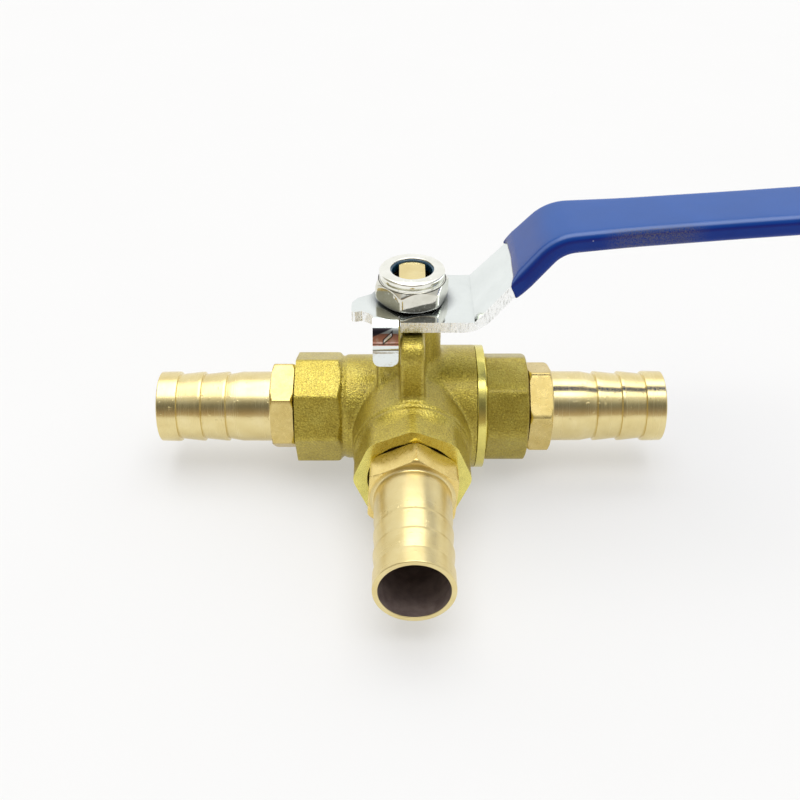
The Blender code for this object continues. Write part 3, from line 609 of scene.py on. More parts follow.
def rubber():
    f = Finish("rubber", 0.0)
    f.set("Base Color", f.patches(1.0, 0.014, 0.03))
    f.roughen(0.6, 0.42, 0.62)
    f.bump(f.noise(0.3), 0.01)
    return f.material


def polished_ball():
    f = Finish("polished_ball")
    f.set("Base Color", f.patches(3.0, (0.76, 0.76, 0.74), (0.84, 0.84, 0.82)))
    f.roughen(1.0, 0.05, 0.12)
    f.bump(f.noise(0.6), 0.003)
    return f.material


# ---------------------------------------------------------------- the forged body

def radial(a, b):
    return np.sqrt(a * a + b * b)


def between(value, low, high):
    """How far a value lies outside low..high; negative inside."""
    return np.abs(value - (low + high) / 2.0) - (high - low) / 2.0


def bar(across, along, radius, low, high, easing):
    """Distance field of a round bar: across is the distance from its axis."""
    return smooth_max(across - radius, between(along, low, high), easing)


def octagon_bar(u, v, along, low, high, chamfer, easing=0.5):
    """Distance field of an octagon with a corner up, its corners turned off at both ends."""
    apothem = OCTAGON_RADIUS * math.cos(TAU / 16.0)
    field = None
    for i in range(4):
        angle = TAU / 16.0 + i * TAU / 8.0
        face = np.abs(u * math.cos(angle) + v * math.sin(angle)) - apothem
        field = face if field is None else smooth_max(field, face, easing)
    ends = between(along, low, high)
    field = smooth_max(field, ends, 0.5)
    cone = (radial(u, v) - (OCTAGON_RADIUS - chamfer)) * 0.6 + (ends + 0.2) * 0.8
    return smooth_max(field, cone, 0.4)


def block(x, y, z, half_x, low_y, high_y, low_z, high_z, rounding):
    """Distance field of an upright block with rounded edges."""
    parts = [between(x, -half_x, half_x), between(y, low_y, high_y), between(z, low_z, high_z)]
    outside = np.sqrt(sum(np.maximum(p + rounding, 0.0) ** 2 for p in parts))
    inside = np.minimum(np.maximum(np.maximum(parts[0], parts[1]), parts[2]) + rounding, 0.0)
    return outside + inside - rounding


def forging(x, y, z):
    """Distance field of the valve body before machining, with its forged fillets."""
    machining = 1.0
    run = radial(y, z)
    branch = radial(x, z)
    boss = radial(x, y)
    housing = bar(run, x, HOUSING_RADIUS, -9.0, PARTING + machining, 0.6)
    flare = smooth_max(housing, (run - NECK_RADIUS) * 0.72 - (x + 12.1) * 0.7, 0.8)
    neck = bar(run + 0.45 * np.exp(-((x + 18.5) / 0.8) ** 2), x, NECK_RADIUS, -19.2, 0.0, 0.3)
    body = smooth_min(flare, neck, 0.9)
    left = octagon_bar(z, y, -x, 18.9, LEFT_FACE + machining, 0.9)
    body = smooth_min(body, left, 0.5)
    groove = 0.4 * np.exp(-((y + 21.3) / 0.55) ** 2)
    branch_neck = bar(branch + groove, -y, BRANCH_NECK_RADIUS, 0.0, 25.4, 0.5)
    branch_neck = smooth_max(branch_neck, (branch - BRANCH_NECK_RADIUS) * 0.92 - (y + 21.3) * 0.39, 0.5)
    branch_octagon = octagon_bar(z, x, -y, 15.0, BRANCH_FACE + machining, 0.9, 1.4)
    body = smooth_min(body, smooth_min(branch_neck, branch_octagon, 0.6), 0.8)
    body = smooth_min(body, bar(boss, z, BOSS_RADIUS, 0.0, BOSS_TOP + machining, 0.5), 3.2)
    draft = np.maximum(BOSS_TOP - z, 0.0) * 0.006
    rib_top = BOSS_TOP - 0.6
    rib = block(x, y + draft, z, 3.1, -18.9, -2.0, 8.0, rib_top, 1.15)
    # The nose slopes through a point 1.3 mm behind the front of the rib and 1.3 mm below its top.
    nose = math.radians(37.0)
    rib = smooth_max(rib, (z - rib_top + 1.3) * math.sin(nose) - (y + 18.9 - 1.3) * math.cos(nose), 1.3)
    body = smooth_min(body, rib, 1.5)
    pad = bar(boss, z, 7.0, BODY_LOW.z - machining, -8.0, 0.3)
    return smooth_min(body, pad, 0.8)


def surface_net(field, low, step):
    """Quads on the zero level of a distance field sampled on a grid, one point for each crossed cell."""
    index = -np.ones(field.shape, int)
    total = np.zeros(field.shape + (3,))
    count = np.zeros(field.shape)
    corners = []
    for axis in range(3):
        first = field.take(range(field.shape[axis] - 1), axis)
        second = field.take(range(1, field.shape[axis]), axis)
        cells = np.argwhere((first < 0.0) != (second < 0.0))
        a = first[tuple(cells.T)]
        b = second[tuple(cells.T)]
        points = cells.astype(float)
        points[:, axis] += a / (a - b)
        u, v = (axis + 1) % 3, (axis + 2) % 3
        ring = []
        for du, dv in ((0, 0), (-1, 0), (-1, -1), (0, -1)):
            near = cells.copy()
            near[:, u] += du
            near[:, v] += dv
            np.add.at(total, tuple(near.T), points)
            np.add.at(count, tuple(near.T), 1.0)
            ring.append(near)
        ring = np.stack(ring, 1)
        ring[a > 0.0] = ring[a > 0.0][:, ::-1]
        corners.append(ring)
    used = np.argwhere(count > 0.0)
    key = tuple(used.T)
    index[key] = np.arange(len(used))
    verts = total[key] / count[key][:, None] * step + low
    faces = np.concatenate([index[tuple(np.moveaxis(ring, 2, 0))] for ring in corners])
    return verts, faces


def settle(verts, field, rounds=4):
    """Slide points along the field's slope onto its zero level."""
    tiny = 0.01
    for _ in range(rounds):
        value = field(*verts.T)
        slope = np.stack([field(*(verts + tiny * axis).T) - field(*(verts - tiny * axis).T)
                          for axis in np.eye(3)], 1) / (2.0 * tiny)
        size = np.maximum((slope * slope).sum(1), 0.1)
        verts = verts - slope * (value / size)[:, None]
    return verts


def bore_cutter(name, direction, pocket_bottom, face, material):
    """Stepped bore of a port, with its female thread and mouth chamfer."""
    beyond = 4.0
    rows = [(CAVITY_RADIUS - 7.0, 0.0), (CAVITY_RADIUS - 7.0, SEAT_POCKET_RADIUS),
            (pocket_bottom, SEAT_POCKET_RADIUS), (pocket_bottom, PASSAGE_RADIUS),
            (PORT_BORE_BOTTOM, PASSAGE_RADIUS), (PORT_BORE_BOTTOM, PORT_BORE_RADIUS)]
    rows += thread_rows(PORT_BORE_RADIUS, PORT_BORE_BOTTOM + 0.6, face - 1.0, outward=False, depth=0.5)
    rows += [(face - 0.9, PORT_BORE_RADIUS), (face + 0.3, PORT_BORE_RADIUS + 1.2),
             (face + beyond, PORT_BORE_RADIUS + 1.2), (face + beyond, 0.0)]
    return turned_solid(name, rows, direction, material)


def valve_body(materials):
    step = 0.42
    margin = 2.2
    low = np.array(BODY_LOW) - margin
    high = np.array(BODY_HIGH) + margin
    axes = [np.arange(a, b, step) for a, b in zip(low, high)]
    x, y, z = np.meshgrid(*axes, indexing="ij")
    verts, faces = surface_net(forging(x, y, z), low, step)
    verts = settle(verts, forging)
    body = to_frame("valve_body_forging", verts, faces.tolist())
    body.data.materials.append(materials["forged_brass"])
    machined = materials["machined_brass"]
    past = 6.0
    ends = {"left": LEFT_FACE, "branch": BRANCH_FACE, "up": BOSS_TOP, "right": PARTING}
    for direction, face in ends.items():
        cut(body, rod("face_" + direction, 22.0, face, face + past, direction, machined))
    cut(body, rod("face_pad", 12.0, BODY_LOW.z - past, BODY_LOW.z, "up", machined))
    run = [(-9.0, 0.0), (-9.0, CAVITY_RADIUS), (9.3, CAVITY_RADIUS), (9.3, 13.8), (15.9, 13.8),
           (15.9, HOUSING_RADIUS - 1.3), (PARTING + 2.0, HOUSING_RADIUS - 1.3), (PARTING + 2.0, 0.0)]
    cut(body, turned_solid("run_bore", run, "right", machined))
    cut(body, bore_cutter("left_bore", "left", 11.8, LEFT_FACE, machined))
    cut(body, bore_cutter("branch_bore", "branch", 12.7, BRANCH_FACE, machined))
    cut(body, rod("back_pocket", SEAT_POCKET_RADIUS, 5.0, 12.7, "back", machined))
    shaft = [(6.0, 0.0), (6.0, 6.2), (14.8, 6.2), (14.8, 5.0), (BOSS_TOP - 0.5, 5.0),
             (BOSS_TOP + 0.5, 6.0), (BOSS_TOP + 2.0, 6.0), (BOSS_TOP + 2.0, 0.0)]
    cut(body, turned_solid("stem_bore", shaft, "up", machined))
    stand_in(body, "valve_body", "housing", 35.0)


# ---------------------------------------------------------------- end cap, seals and hose barbs

def end_cap(materials):
    """End connector: threaded plug, bright turned ring, groove and blasted octagon."""
    outline = flats(8, OCTAGON_RADIUS, math.radians(-5.0), 0.28)
    ring_start = PARTING + 0.12
    ring_end = 19.6
    octagon_start = 20.1
    face = CAP_FACE
    root = NECK_RADIUS - 0.4
    rows = [(9.8, 8.4), (9.8, 12.6)]
    rows += thread_rows(13.5, 10.0, 16.0, pitch=1.0, depth=0.5)
    rows += rounded([(13.3, 16.2, 0.0), (13.3, ring_start, 0.2), (HOUSING_RADIUS, ring_start, 0.25),
                     (HOUSING_RADIUS, ring_end, 0.25), (root, ring_end, 0.15), (root, octagon_start, 0.1),
                     (root + 0.3, octagon_start, 0.0)], closed=False)
    rows += nut_rows(outline, octagon_start, face, (OCTAGON_RADIUS - 0.5, 1.4),
                     (OCTAGON_RADIUS - 1.2, 1.7), 0.3)
    rows += [(face, PORT_BORE_RADIUS + 1.0), (face - 0.9, PORT_BORE_RADIUS)]
    rows += reversed(thread_rows(PORT_BORE_RADIUS, 18.6, face - 1.0, outward=False, depth=0.5))
    rows += [(PORT_BORE_BOTTOM, PORT_BORE_RADIUS), (PORT_BORE_BOTTOM, PASSAGE_RADIUS), (11.8, PASSAGE_RADIUS),
             (11.8, 8.4)]
    cap = spun("end_cap_turned", rows, "right")

    def choose(centre):
        outside = radial(centre.y, centre.z) > NECK_RADIUS - 0.6
        blasted = outside and octagon_start < centre.x < face - 0.05
        return "forged_brass_cap_shaded" if blasted else "bright_ring"

    paint(cap, {kind: materials[kind] for kind in ("forged_brass_cap_shaded", "bright_ring")}, choose)
    stand_in(cap, "end_cap", "housing", 30.0)


def hose_barb(side, hex_turn, materials):
    """Hose tail: screw thread, hexagon and three sawtooth barbs with a thin bore."""
    low, high = local_box("hose_barb_" + side)
    end = {"left": -low.x, "right": high.x, "branch": -low.y}[side]
    hex_outer = end - 31.0
    hex_inner = BRANCH_FACE + 0.25 if side == "branch" else LEFT_FACE + 0.6
    thread_end = end - 48.8
    crest = 9.6
    root = 8.95
    bore = 8.3
    outline = flats(6, 12.7, math.radians(hex_turn), 0.1)
    rows = [(thread_end, bore + 0.2), (thread_end, 9.3)]
    rows += thread_rows(10.35, thread_end + 0.2, hex_inner - 0.9)
    rows += rounded([(9.4, hex_inner - 0.7, 0.0), (9.4, hex_inner, 0.2), (10.6, hex_inner, 0.0)],
                    closed=False)
    rows += nut_rows(outline, hex_inner, hex_outer, (11.7, 1.3), (11.5, 1.9), 0.22)
    rows += rounded([(10.7, hex_outer, 0.0), (crest + 0.05, hex_outer, 0.75),
                     (crest, end - 22.5, 1.5)], closed=False, steps=6)
    teeth = [(crest, end - 22.5, 0.6)]
    for back in (18.6, 11.9, 5.3) if side != "branch" else (17.9, 11.4, 5.0):
        teeth += [(root, end - back - 0.12, 0.12), (crest, end - back, 0.1), (crest, end - back + 0.7, 0.1)]
    teeth += [(crest, end, 0.3), (bore, end, 0.2), (bore, end - 3.0, 0.0)]
    rows += rounded(teeth, closed=False)[1:]
    rows += [(end - 10.0, bore), (end - 24.0, bore), (thread_end + 0.2, bore)]
    barb = spun("hose_barb_%s_turned" % side, rows, side)
    axis = {"left": 0, "right": 0, "branch": 1}[side]

    def choose(centre):
        spoke = centre.copy()
        spoke[axis] = 0.0
        along = abs(centre[axis])
        inside = spoke.length < bore + 0.1 and along < end - 0.4
        flat = hex_inner - 0.05 < along < hex_outer + 0.05 and spoke.length > crest + 0.9
        # Painted shade: the thread and neck inside the hexagon's gap are painted dark brown.
        if along < hex_inner - 0.03 and not inside:
            return "shaded_thread_brass"
        return "dark_bore" if inside else "drawn_brass" if flat else "turned"

    kinds = {kind: kind for kind in ("dark_bore", "drawn_brass", "shaded_thread_brass")}
    # The branch's hexagon takes a lighter copy of the drawn brass: painted light.
    if side == "branch":
        kinds["drawn_brass"] = "drawn_brass_branch_lit"
    kinds["turned"] = "turned_brass_" + "xyz"[axis]
    paint(barb, {part: materials[kind] for part, kind in kinds.items()}, choose)
    stand_in(barb, "hose_barb_" + side, "housing", 30.0)


def plain_ring(node, corners, direction, body, material):
    """A washer, seat or gasket from the corners of its profile."""
    ring = spun(node + "_ring", rounded(corners), direction)
    ring.data.materials.append(material)
    stand_in(ring, node, body, 30.0)


def seat(side, material):
    back = 11.0 if side in ("branch", "back") else 11.6
    hollow = 11.05
    front = 8.45
    lip = math.sqrt(hollow ** 2 - front ** 2)
    corners = [(PASSAGE_RADIUS, back, 0.15), (8.2, back, 0.2), (8.2, front, 0.2)]
    steps = 8
    for i in range(steps + 1):
        radius = lip + (PASSAGE_RADIUS - lip) * i / steps
        corners.append((radius, math.sqrt(hollow ** 2 - radius ** 2), 0.0))
    plain_ring("seat_" + side, corners, side, "housing", material)


def wire_ring(node, centre_radius, wire, height, direction, body, material):
    """An O-ring."""
    points = 24
    rows = [(height + wire * math.sin(TAU * i / points), centre_radius + wire * math.cos(TAU * i / points))
            for i in range(points)]
    ring = spun(node + "_wire", rows, direction)
    ring.data.materials.append(material)
    stand_in(ring, node, body, 60.0)


# ---------------------------------------------------------------- ball and stem

def slab(name, x, y, z, material):
    """Axis-aligned cutting block from three (low, high) pairs."""
    verts = [(a, b, c) for a in x for b in y for c in z]
    faces = [(0, 1, 3, 2), (4, 6, 7, 5), (0, 4, 5, 1), (2, 3, 7, 6), (0, 2, 6, 4), (1, 5, 7, 3)]
    cutter = to_frame(name, verts, faces)
    cutter.data.materials.append(material)
    return cutter


def ball(material):
    """Ball with a T passage and a slot for the stem's tongue."""
    radius = 11.0
    rows = [(radius * math.sin(TAU * (i / 96.0 - 0.25)), radius * math.cos(TAU * (i / 96.0 - 0.25)))
            for i in range(49)]
    sphere = turned_solid("ball_polished", rows, "up", material)
    cut(sphere, rod("through_bore", 6.0, -14.0, 14.0, "right", material))
    cut(sphere, rod("side_bore", 6.0, 1.0, 14.0, "branch", material))
    cut(sphere, slab("ball_slot", (-14.0, 14.0), (-1.8, 1.8), (8.5, 14.0), material))
    stand_in(sphere, "ball", "ball", 30.0)


def stem(materials):
    """Spindle: tongue, thrust collar, grooved shaft and a threaded end with two flats."""
    brass = materials["turned_brass_z"]
    top = STEM_HIGH.z + 0.3
    collar = 11.6
    corners = [(0.0, collar, 0.0), (5.8, collar, 0.3), (5.8, 13.5, 0.2), (4.7, 13.5, 0.1)]
    for height in (19.0, 24.0):
        corners += [(4.7, height - 1.0, 0.1), (3.7, height - 1.0, 0.15), (3.7, height + 1.0, 0.15),
                    (4.7, height + 1.0, 0.1)]
    corners += [(4.7, 31.4, 0.1)]
    rows = rounded(corners, closed=False)
    rows += thread_rows(4.9, 31.5, top - 0.7, pitch=1.25, depth=0.55, fade=0.3)
    rows += [(top - 0.6, 4.85), (top - 0.1, 4.85), (top, 4.75), (top, 0.0)]
    spindle = turned_solid("stem_turned", rows, "up", brass)
    cut(spindle, slab("left_flat", (-10.0, -3.3), (-10.0, 10.0), (31.4, top + 1.0), brass))
    cut(spindle, slab("right_flat", (3.3, 10.0), (-10.0, 10.0), (31.4, top + 1.0), brass))
    cut(spindle, slab("tongue", (-4.5, 4.5), (-1.5, 1.5), (STEM_LOW.z, collar + 0.5), brass), "UNION")
    stand_in(spindle, "stem", "lever_and_stem", 30.0)


def lock_nut(materials):
    """Nickel-plated hexagon nut with a rolled collar."""
    bottom = NUT_LOW.z - 0.25
    top = NUT_HIGH.z
    shoulder = 40.7
    outline = flats(6, 9.8, math.radians(12.4), 0.12)
    rows = [(bottom, 5.9)]
    rows += nut_rows(outline, bottom, shoulder, (7.9, 1.5), (8.45, 0.95), 0.25)
    rows += rounded([(8.7, shoulder, 0.0), (8.3, shoulder, 0.2), (8.25, top - 2.05, 0.1),
                     (7.6, top - 1.9, 0.1), (7.6, top - 1.65, 0.1), (8.45, top - 1.4, 0.15),
                     (8.45, top - 0.25, 1.0), (6.4, top, 0.9), (5.6, top - 0.1, 0.5),
                     (5.5, top - 0.4, 0.05), (6.4, top - 0.4, 0.0), (6.4, shoulder - 0.2, 0.1),
                     (5.2, shoulder - 0.2, 0.0)], closed=False, steps=6)
    thread = thread_rows(5.2, bottom + 0.8, shoulder - 0.6, outward=False, pitch=1.25, depth=0.4)
    rows += reversed(thread)
    nut = spun("lock_nut_plated", rows, "up")
    nut.data.materials.append(materials["nickel"])
    stand_in(nut, "lock_nut", "lever_and_stem", 40.0)


# ---------------------------------------------------------------- lever

PLATE_THICKNESS = 2.9
PLATE_MIDDLE = BOSS_TOP + 0.4 + PLATE_THICKNESS / 2.0
HUB_HALF_WIDTH = 12.2
BEND_X = (16.2, 35.0)
BEND_RADII = (5.0, 10.0)
COINING = 2.45                                # a bend's radius shrinks this much per mm above the middle
SLOPE = math.radians(49.0)
ARM_RISE = math.radians(4.3)
TAB_BEND_Y = 9.0
TAB_BEND_RADIUS = 3.55
TAB_LEAN = math.radians(22.0)                 # the tab leans out below its bend, then hangs steeper
TAB_LEAN_DROP = 1.5
TAB_TIP_LEAN = math.radians(11.0)
GRIP_WALL = 1.25
GRIP_THICKNESS = 5.5
MOUTH = 27.4


def lever_path(off=0.0):
    """Middle line of the lever in the XZ plane: (length, total turn) of each stretch."""
    turns = (SLOPE, ARM_RISE - SLOPE)
    radii = (BEND_RADII[0] - COINING * off, BEND_RADII[1])
    setbacks = [radius * math.tan(abs(turn) / 2.0) for radius, turn in zip(radii, turns)]
    arcs = [radius * abs(turn) for radius, turn in zip(radii, turns)]
    slope_length = (BEND_X[1] - BEND_X[0]) / math.cos(SLOPE)
    return [(BEND_X[0] - setbacks[0], 0.0), (arcs[0], turns[0]),
            (slope_length - setbacks[0] - setbacks[1], 0.0), (arcs[1], turns[1]), (200.0, 0.0)]


def lever_point(along, across, off):
    """Place on the bent lever: distance along it, distance across, and height off its middle line."""
    x, z, angle = 0.0, PLATE_MIDDLE, 0.0
    left = along
    coined = max(-PLATE_THICKNESS / 2.0, min(off, PLATE_THICKNESS / 2.0))
    for length, turn in lever_path(coined):
        step = min(left, length)
        if turn:
            swing = turn * step / length
            radius = length / turn
            x += radius * (math.sin(angle + swing) - math.sin(angle))
            z += radius * (math.cos(angle) - math.cos(angle + swing))
            angle += swing
        else:
            x += step * math.cos(angle)
            z += step * math.sin(angle)
        left -= step
        if left <= 0.0:
            break
    return (x - off * math.sin(angle), across, z + off * math.cos(angle))


ARM_START = sum(length for length, _ in lever_path()[:-1])
GRIP_END = ARM_START + (GRIP_REACH - lever_point(ARM_START, 0.0, 0.0)[0]) / math.cos(ARM_RISE)
PLATE_END = GRIP_END - GRIP_WALL


def plate_half_width(along):
    """Half width of the steel plate, eased between the hub, the slope and the grip."""
    stations = (0.0, 16.0, 27.0, 48.0, 62.0, 90.0, 200.0)
    widths = (HUB_HALF_WIDTH, HUB_HALF_WIDTH, 11.2, 9.3, 8.4, 8.0, 8.0)
    around = np.linspace(-4.0, 4.0, 9)
    return float(np.mean(np.interp(along + around, stations, widths)))


def arc(centre, radius, start, end, steps):
    angles = np.radians(np.linspace(start, end, steps + 1))
    return [(centre[0] + radius * math.cos(a), centre[1] + radius * math.sin(a)) for a in angles]


def eased(points, roundings):
    """Round the corners of an open outline; roundings gives the radius at each point."""
    rows = rounded([(x, y, r) for (x, y), r in zip(points, roundings)], closed=False, steps=5)
    return [(x, y) for y, x in rows]


TAB_BEND_LENGTH = TAB_BEND_RADIUS * (math.pi / 2.0 - TAB_LEAN)
TAB_KICK = TAB_BEND_LENGTH + TAB_LEAN_DROP / math.cos(TAB_LEAN)
TAB_LINES = (TAB_KICK, TAB_KICK + 1.7)        # lines struck across its outer face by the press


def tab_tip():
    """Distance from the lever's middle line to a stop tab's tip, measured on the flat sheet."""
    bend_drop = TAB_BEND_RADIUS * (1.0 - math.sin(TAB_LEAN))
    tip_length = (PLATE_MIDDLE - bend_drop - TAB_BOTTOM - TAB_LEAN_DROP) / math.cos(TAB_TIP_LEAN)
    return TAB_BEND_Y + TAB_BEND_LENGTH + TAB_LEAN_DROP / math.cos(TAB_LEAN) + tip_length - 1.0


def tab_outline(outer_x):
    """Flat pattern of a stop tab on the -Y side, from the hub round to the arm."""
    inner_x = -3.5
    tip = tab_tip()
    slit = 0.35
    points = [(outer_x, -5.0), (outer_x, -tip), (inner_x, -tip), (inner_x, -TAB_BEND_Y),
              (inner_x + slit, -TAB_BEND_Y), (inner_x + slit, -HUB_HALF_WIDTH), (16.0, -HUB_HALF_WIDTH)]
    return eased(points, (0.0, 1.9, 1.9, 0.0, 0.15, 0.3, 0.0))


def plate_outline():
    """Flat pattern of the lever before bending, counterclockwise."""
    end_radius = plate_half_width(PLATE_END)
    arm = [(s, -plate_half_width(s)) for s in np.arange(17.0, PLATE_END - end_radius - 1.0, 2.0)]
    tip = arc((PLATE_END - end_radius, 0.0), end_radius, -90, 90, 24)
    ear = eased([(-9.0, 9.0), (-10.2, 2.4), (-14.2, 0.0), (-15.5, -2.2), (-15.5, -7.2), (-12.4, -6.4),
                 (-10.0, -8.6), (-10.0, -9.5)], (0.0, 1.2, 1.0, 1.0, 0.9, 1.2, 0.5, 0.0))
    front = tab_outline(-10.0) + arm
    back = tab_outline(-9.0) + arm
    return front + tip + [(x, -y) for x, y in reversed(back)] + ear[1:-1]


def bend_plate(along, across, off):
    """Move a point of the flat sheet to its place on the bent lever."""
    tabbed = along <= -3.49 and abs(across) > TAB_BEND_Y
    if not tabbed:
        x, y, z = lever_point(max(along, 0.0), across, off)
        return (x + min(along, 0.0), y, z)
    beyond = abs(across) - TAB_BEND_Y
    if off > 0.0 and min(abs(beyond - line) for line in TAB_LINES) < 0.05:
        off -= 0.15
    swing = min(beyond, TAB_BEND_LENGTH) / TAB_BEND_RADIUS
    leaning = min(max(beyond - TAB_BEND_LENGTH, 0.0), TAB_LEAN_DROP / math.cos(TAB_LEAN))
    tip = max(beyond - TAB_BEND_LENGTH - leaning, 0.0)
    turn = swing if tip == 0.0 else math.pi / 2.0 - TAB_TIP_LEAN
    reach = TAB_BEND_RADIUS * math.sin(swing) + off * math.sin(turn)
    reach += leaning * math.sin(TAB_LEAN) + tip * math.sin(TAB_TIP_LEAN)
    drop = TAB_BEND_RADIUS * (1.0 - math.cos(swing)) - off * math.cos(turn)
    drop += leaning * math.cos(TAB_LEAN) + tip * math.cos(TAB_TIP_LEAN)
    return (along, math.copysign(TAB_BEND_Y + reach, across), PLATE_MIDDLE - drop)


def bend_creases():
    """Distances along the lever of the fine creases that make its bends round."""
    creases = []
    for off in (-PLATE_THICKNESS / 2.0, PLATE_THICKNESS / 2.0):
        start = 0.0
        for length, turn in lever_path(off):
            if turn:
                creases += list(np.linspace(start, start + length, 12))
            start += length
    return sorted(set(round(crease, 2) for crease in creases))


def lever_plate(materials):
    """Pressed steel lever: cut flat, edges eased, creased, bent, then punched for the stem."""
    bm = bmesh.new()
    bm.faces.new([bm.verts.new((x, y, 0.0)) for x, y in plate_outline()])
    extruded = bmesh.ops.extrude_face_region(bm, geom=bm.faces[:])
    top = {item for item in extruded["geom"] if isinstance(item, bmesh.types.BMVert)}
    for vert in bm.verts:
        vert.co.z = PLATE_THICKNESS / 2.0 if vert in top else -PLATE_THICKNESS / 2.0
    rims = [edge for edge in bm.edges if abs(edge.verts[0].co.z - edge.verts[1].co.z) < 0.1]
    bmesh.ops.bevel(bm, geom=rims, offset=0.32, segments=3, profile=0.6, affect="EDGES", clamp_overlap=True)
    bm.normal_update()
    for face in bm.faces:
        face.material_index = 1 if abs(face.normal.z) < 0.3 else 0
    cuts = [((s, 0.0, 0.0), (1.0, 0.0, 0.0)) for s in bend_creases()]
    for side in (-1.0, 1.0):
        folds = list(np.linspace(0.0, TAB_BEND_LENGTH, 11))
        folds += [line + step for line in TAB_LINES for step in (-0.25, 0.0, 0.25)]
        cuts += [((0.0, side * (TAB_BEND_Y + fold), 0.0), (0.0, 1.0, 0.0)) for fold in folds]
    for place, normal in cuts:
        bmesh.ops.bisect_plane(bm, geom=bm.verts[:] + bm.edges[:] + bm.faces[:], dist=1e-5,
                               plane_co=place, plane_no=normal)
    large = [face for face in bm.faces if len(face.verts) > 4]
    bmesh.ops.triangulate(bm, faces=large, ngon_method="EAR_CLIP")
    for vert in bm.verts:
        vert.co = Vector(bend_plate(*vert.co)) * MM + CENTRE
    bmesh.ops.recalc_face_normals(bm, faces=bm.faces)
    mesh = bpy.data.meshes.new("lever_plate_pressed")
    bm.to_mesh(mesh)
    bm.free()
    plate = bpy.data.objects.new("lever_plate_pressed", mesh)
    bpy.context.scene.collection.objects.link(plate)
    for key in ("chrome", "sheared_chrome", "painted_tab_chrome"):
        mesh.materials.append(materials[key])
    for face in mesh.polygons:
        place = (face.center - CENTRE) / MM
        if face.material_index == 0 and face.normal.y < -0.3 and place.y < -HUB_HALF_WIDTH:
            face.material_index = 2
    hole = rod("stem_hole", 5.1, PLATE_MIDDLE - 3.0, PLATE_MIDDLE + 3.0, "up", materials["sheared_chrome"])
    for side in (-1.0, 1.0):
        flat = slab("hole_flat", sorted((side * 3.6, side * 9.0)), (-9.0, 9.0),
                    (PLATE_MIDDLE - 5.0, PLATE_MIDDLE + 5.0), materials["sheared_chrome"])
        cut(hole, flat)
    cut(plate, hole)
    stand_in(plate, "lever_plate", "lever_and_stem", 32.0)


def grip_section(half_width, half_thickness, rounding):
    """(across, off) points round a cross-section of the grip."""
    per_corner, per_width, per_edge = 7, 12, 3
    corners = []
    for side, level, start in ((1, 1, 0.0), (-1, 1, 90.0), (-1, -1, 180.0), (1, -1, 270.0)):
        centre = (side * (half_width - rounding), level * (half_thickness - rounding))
        corners.append(arc(centre, rounding, start, start + 90.0, per_corner))
    points = []
    for i, corner in enumerate(corners):
        points += corner
        (u, v), (u2, v2) = corner[-1], corners[(i + 1) % 4][0]
        steps = per_edge if i % 2 else per_width
        points += [(u + (u2 - u) * k / steps, v + (v2 - v) * k / steps) for k in range(1, steps)]
    return points


def mouth_shift(across, off, half_width, half_thickness):
    """How far the grip's mouth is drawn back from its tip, which lies under the plate."""
    share = min(abs(across) / half_width, 1.0)
    height = 0.5 + 0.5 * max(-1.0, min(off / half_thickness, 1.0))
    top = 4.1 - 0.5 * share ** 2 - 0.9 * max(0.0, share - 0.88) / 0.12
    side = 0.4 + 2.3 * height
    blend = height ** 2 * (3.0 - 2.0 * height)
    ragged = 0.07 * math.sin(across * 2.9 + off) + 0.05 * math.sin(across * 7.1)
    return side + (top - side) * blend * min(1.0, (1.0 - share) / 0.1) + ragged


def grip_skin(verts, faces, end, wall, half_thickness, rounding):
    """Closed bag over the lever up to its end; returns the ring of points at its mouth."""
    steps = [0.0, 0.2, 0.5, 1.0, 1.7, 2.6, 3.6, 4.8, 6.0]
    tip_radius = plate_half_width(end) + wall
    steps += list(np.arange(7.2, end - MOUTH - tip_radius, 1.2))
    steps += [end - MOUTH - tip_radius * (1.0 - math.sin(math.radians(a))) for a in np.linspace(0, 89, 24)]
    rings = []
    for step in steps:
        along = MOUTH + step
        grown = min(1.0, 0.35 + 0.65 * math.sqrt(step / 5.0)) if wall > 0.2 else 1.0
        thick = PLATE_THICKNESS / 2.0 + (half_thickness - PLATE_THICKNESS / 2.0) * grown
        half_width = plate_half_width(along) + wall * grown
        from_tip = end - along
        if from_tip < tip_radius:
            half_width = math.sqrt(max(tip_radius ** 2 - (tip_radius - from_tip) ** 2, 0.0))
        corner = min(rounding * grown, thick - 0.05)
        half_width = max(half_width, corner + 0.05)
        ring = []
        for across, off in grip_section(half_width, thick, corner):
            drawn = mouth_shift(across, off, half_width, thick) * max(0.0, 1.0 - step / 8.0)
            ring.append(len(verts))
            verts.append(lever_point(along + drawn, across, off))
        rings.append(ring)
    for low, high in zip(rings, rings[1:]):
        for i in range(len(low)):
            faces.append((low[i - 1], low[i], high[i], high[i - 1]))
    faces.append(tuple(rings[-1]))
    return rings[0]


def lever_sleeve(materials):
    """Dipped grip: rounded skin over the plate with a scalloped, thinning mouth."""
    verts, faces = [], []
    outer = grip_skin(verts, faces, GRIP_END, GRIP_WALL, GRIP_THICKNESS / 2.0, 2.1)
    inner = grip_skin(verts, faces, PLATE_END + 0.1, 0.04, PLATE_THICKNESS / 2.0 + 0.04, 0.3)
    for i in range(len(outer)):
        faces.append((outer[i - 1], outer[i], inner[i], inner[i - 1]))
    grip = to_frame("lever_sleeve_dipped", verts, faces)
    grip.data.materials.append(materials["blue_vinyl"])
    stand_in(grip, "lever_sleeve", "lever_and_stem", 45.0)


# ---------------------------------------------------------------- stage

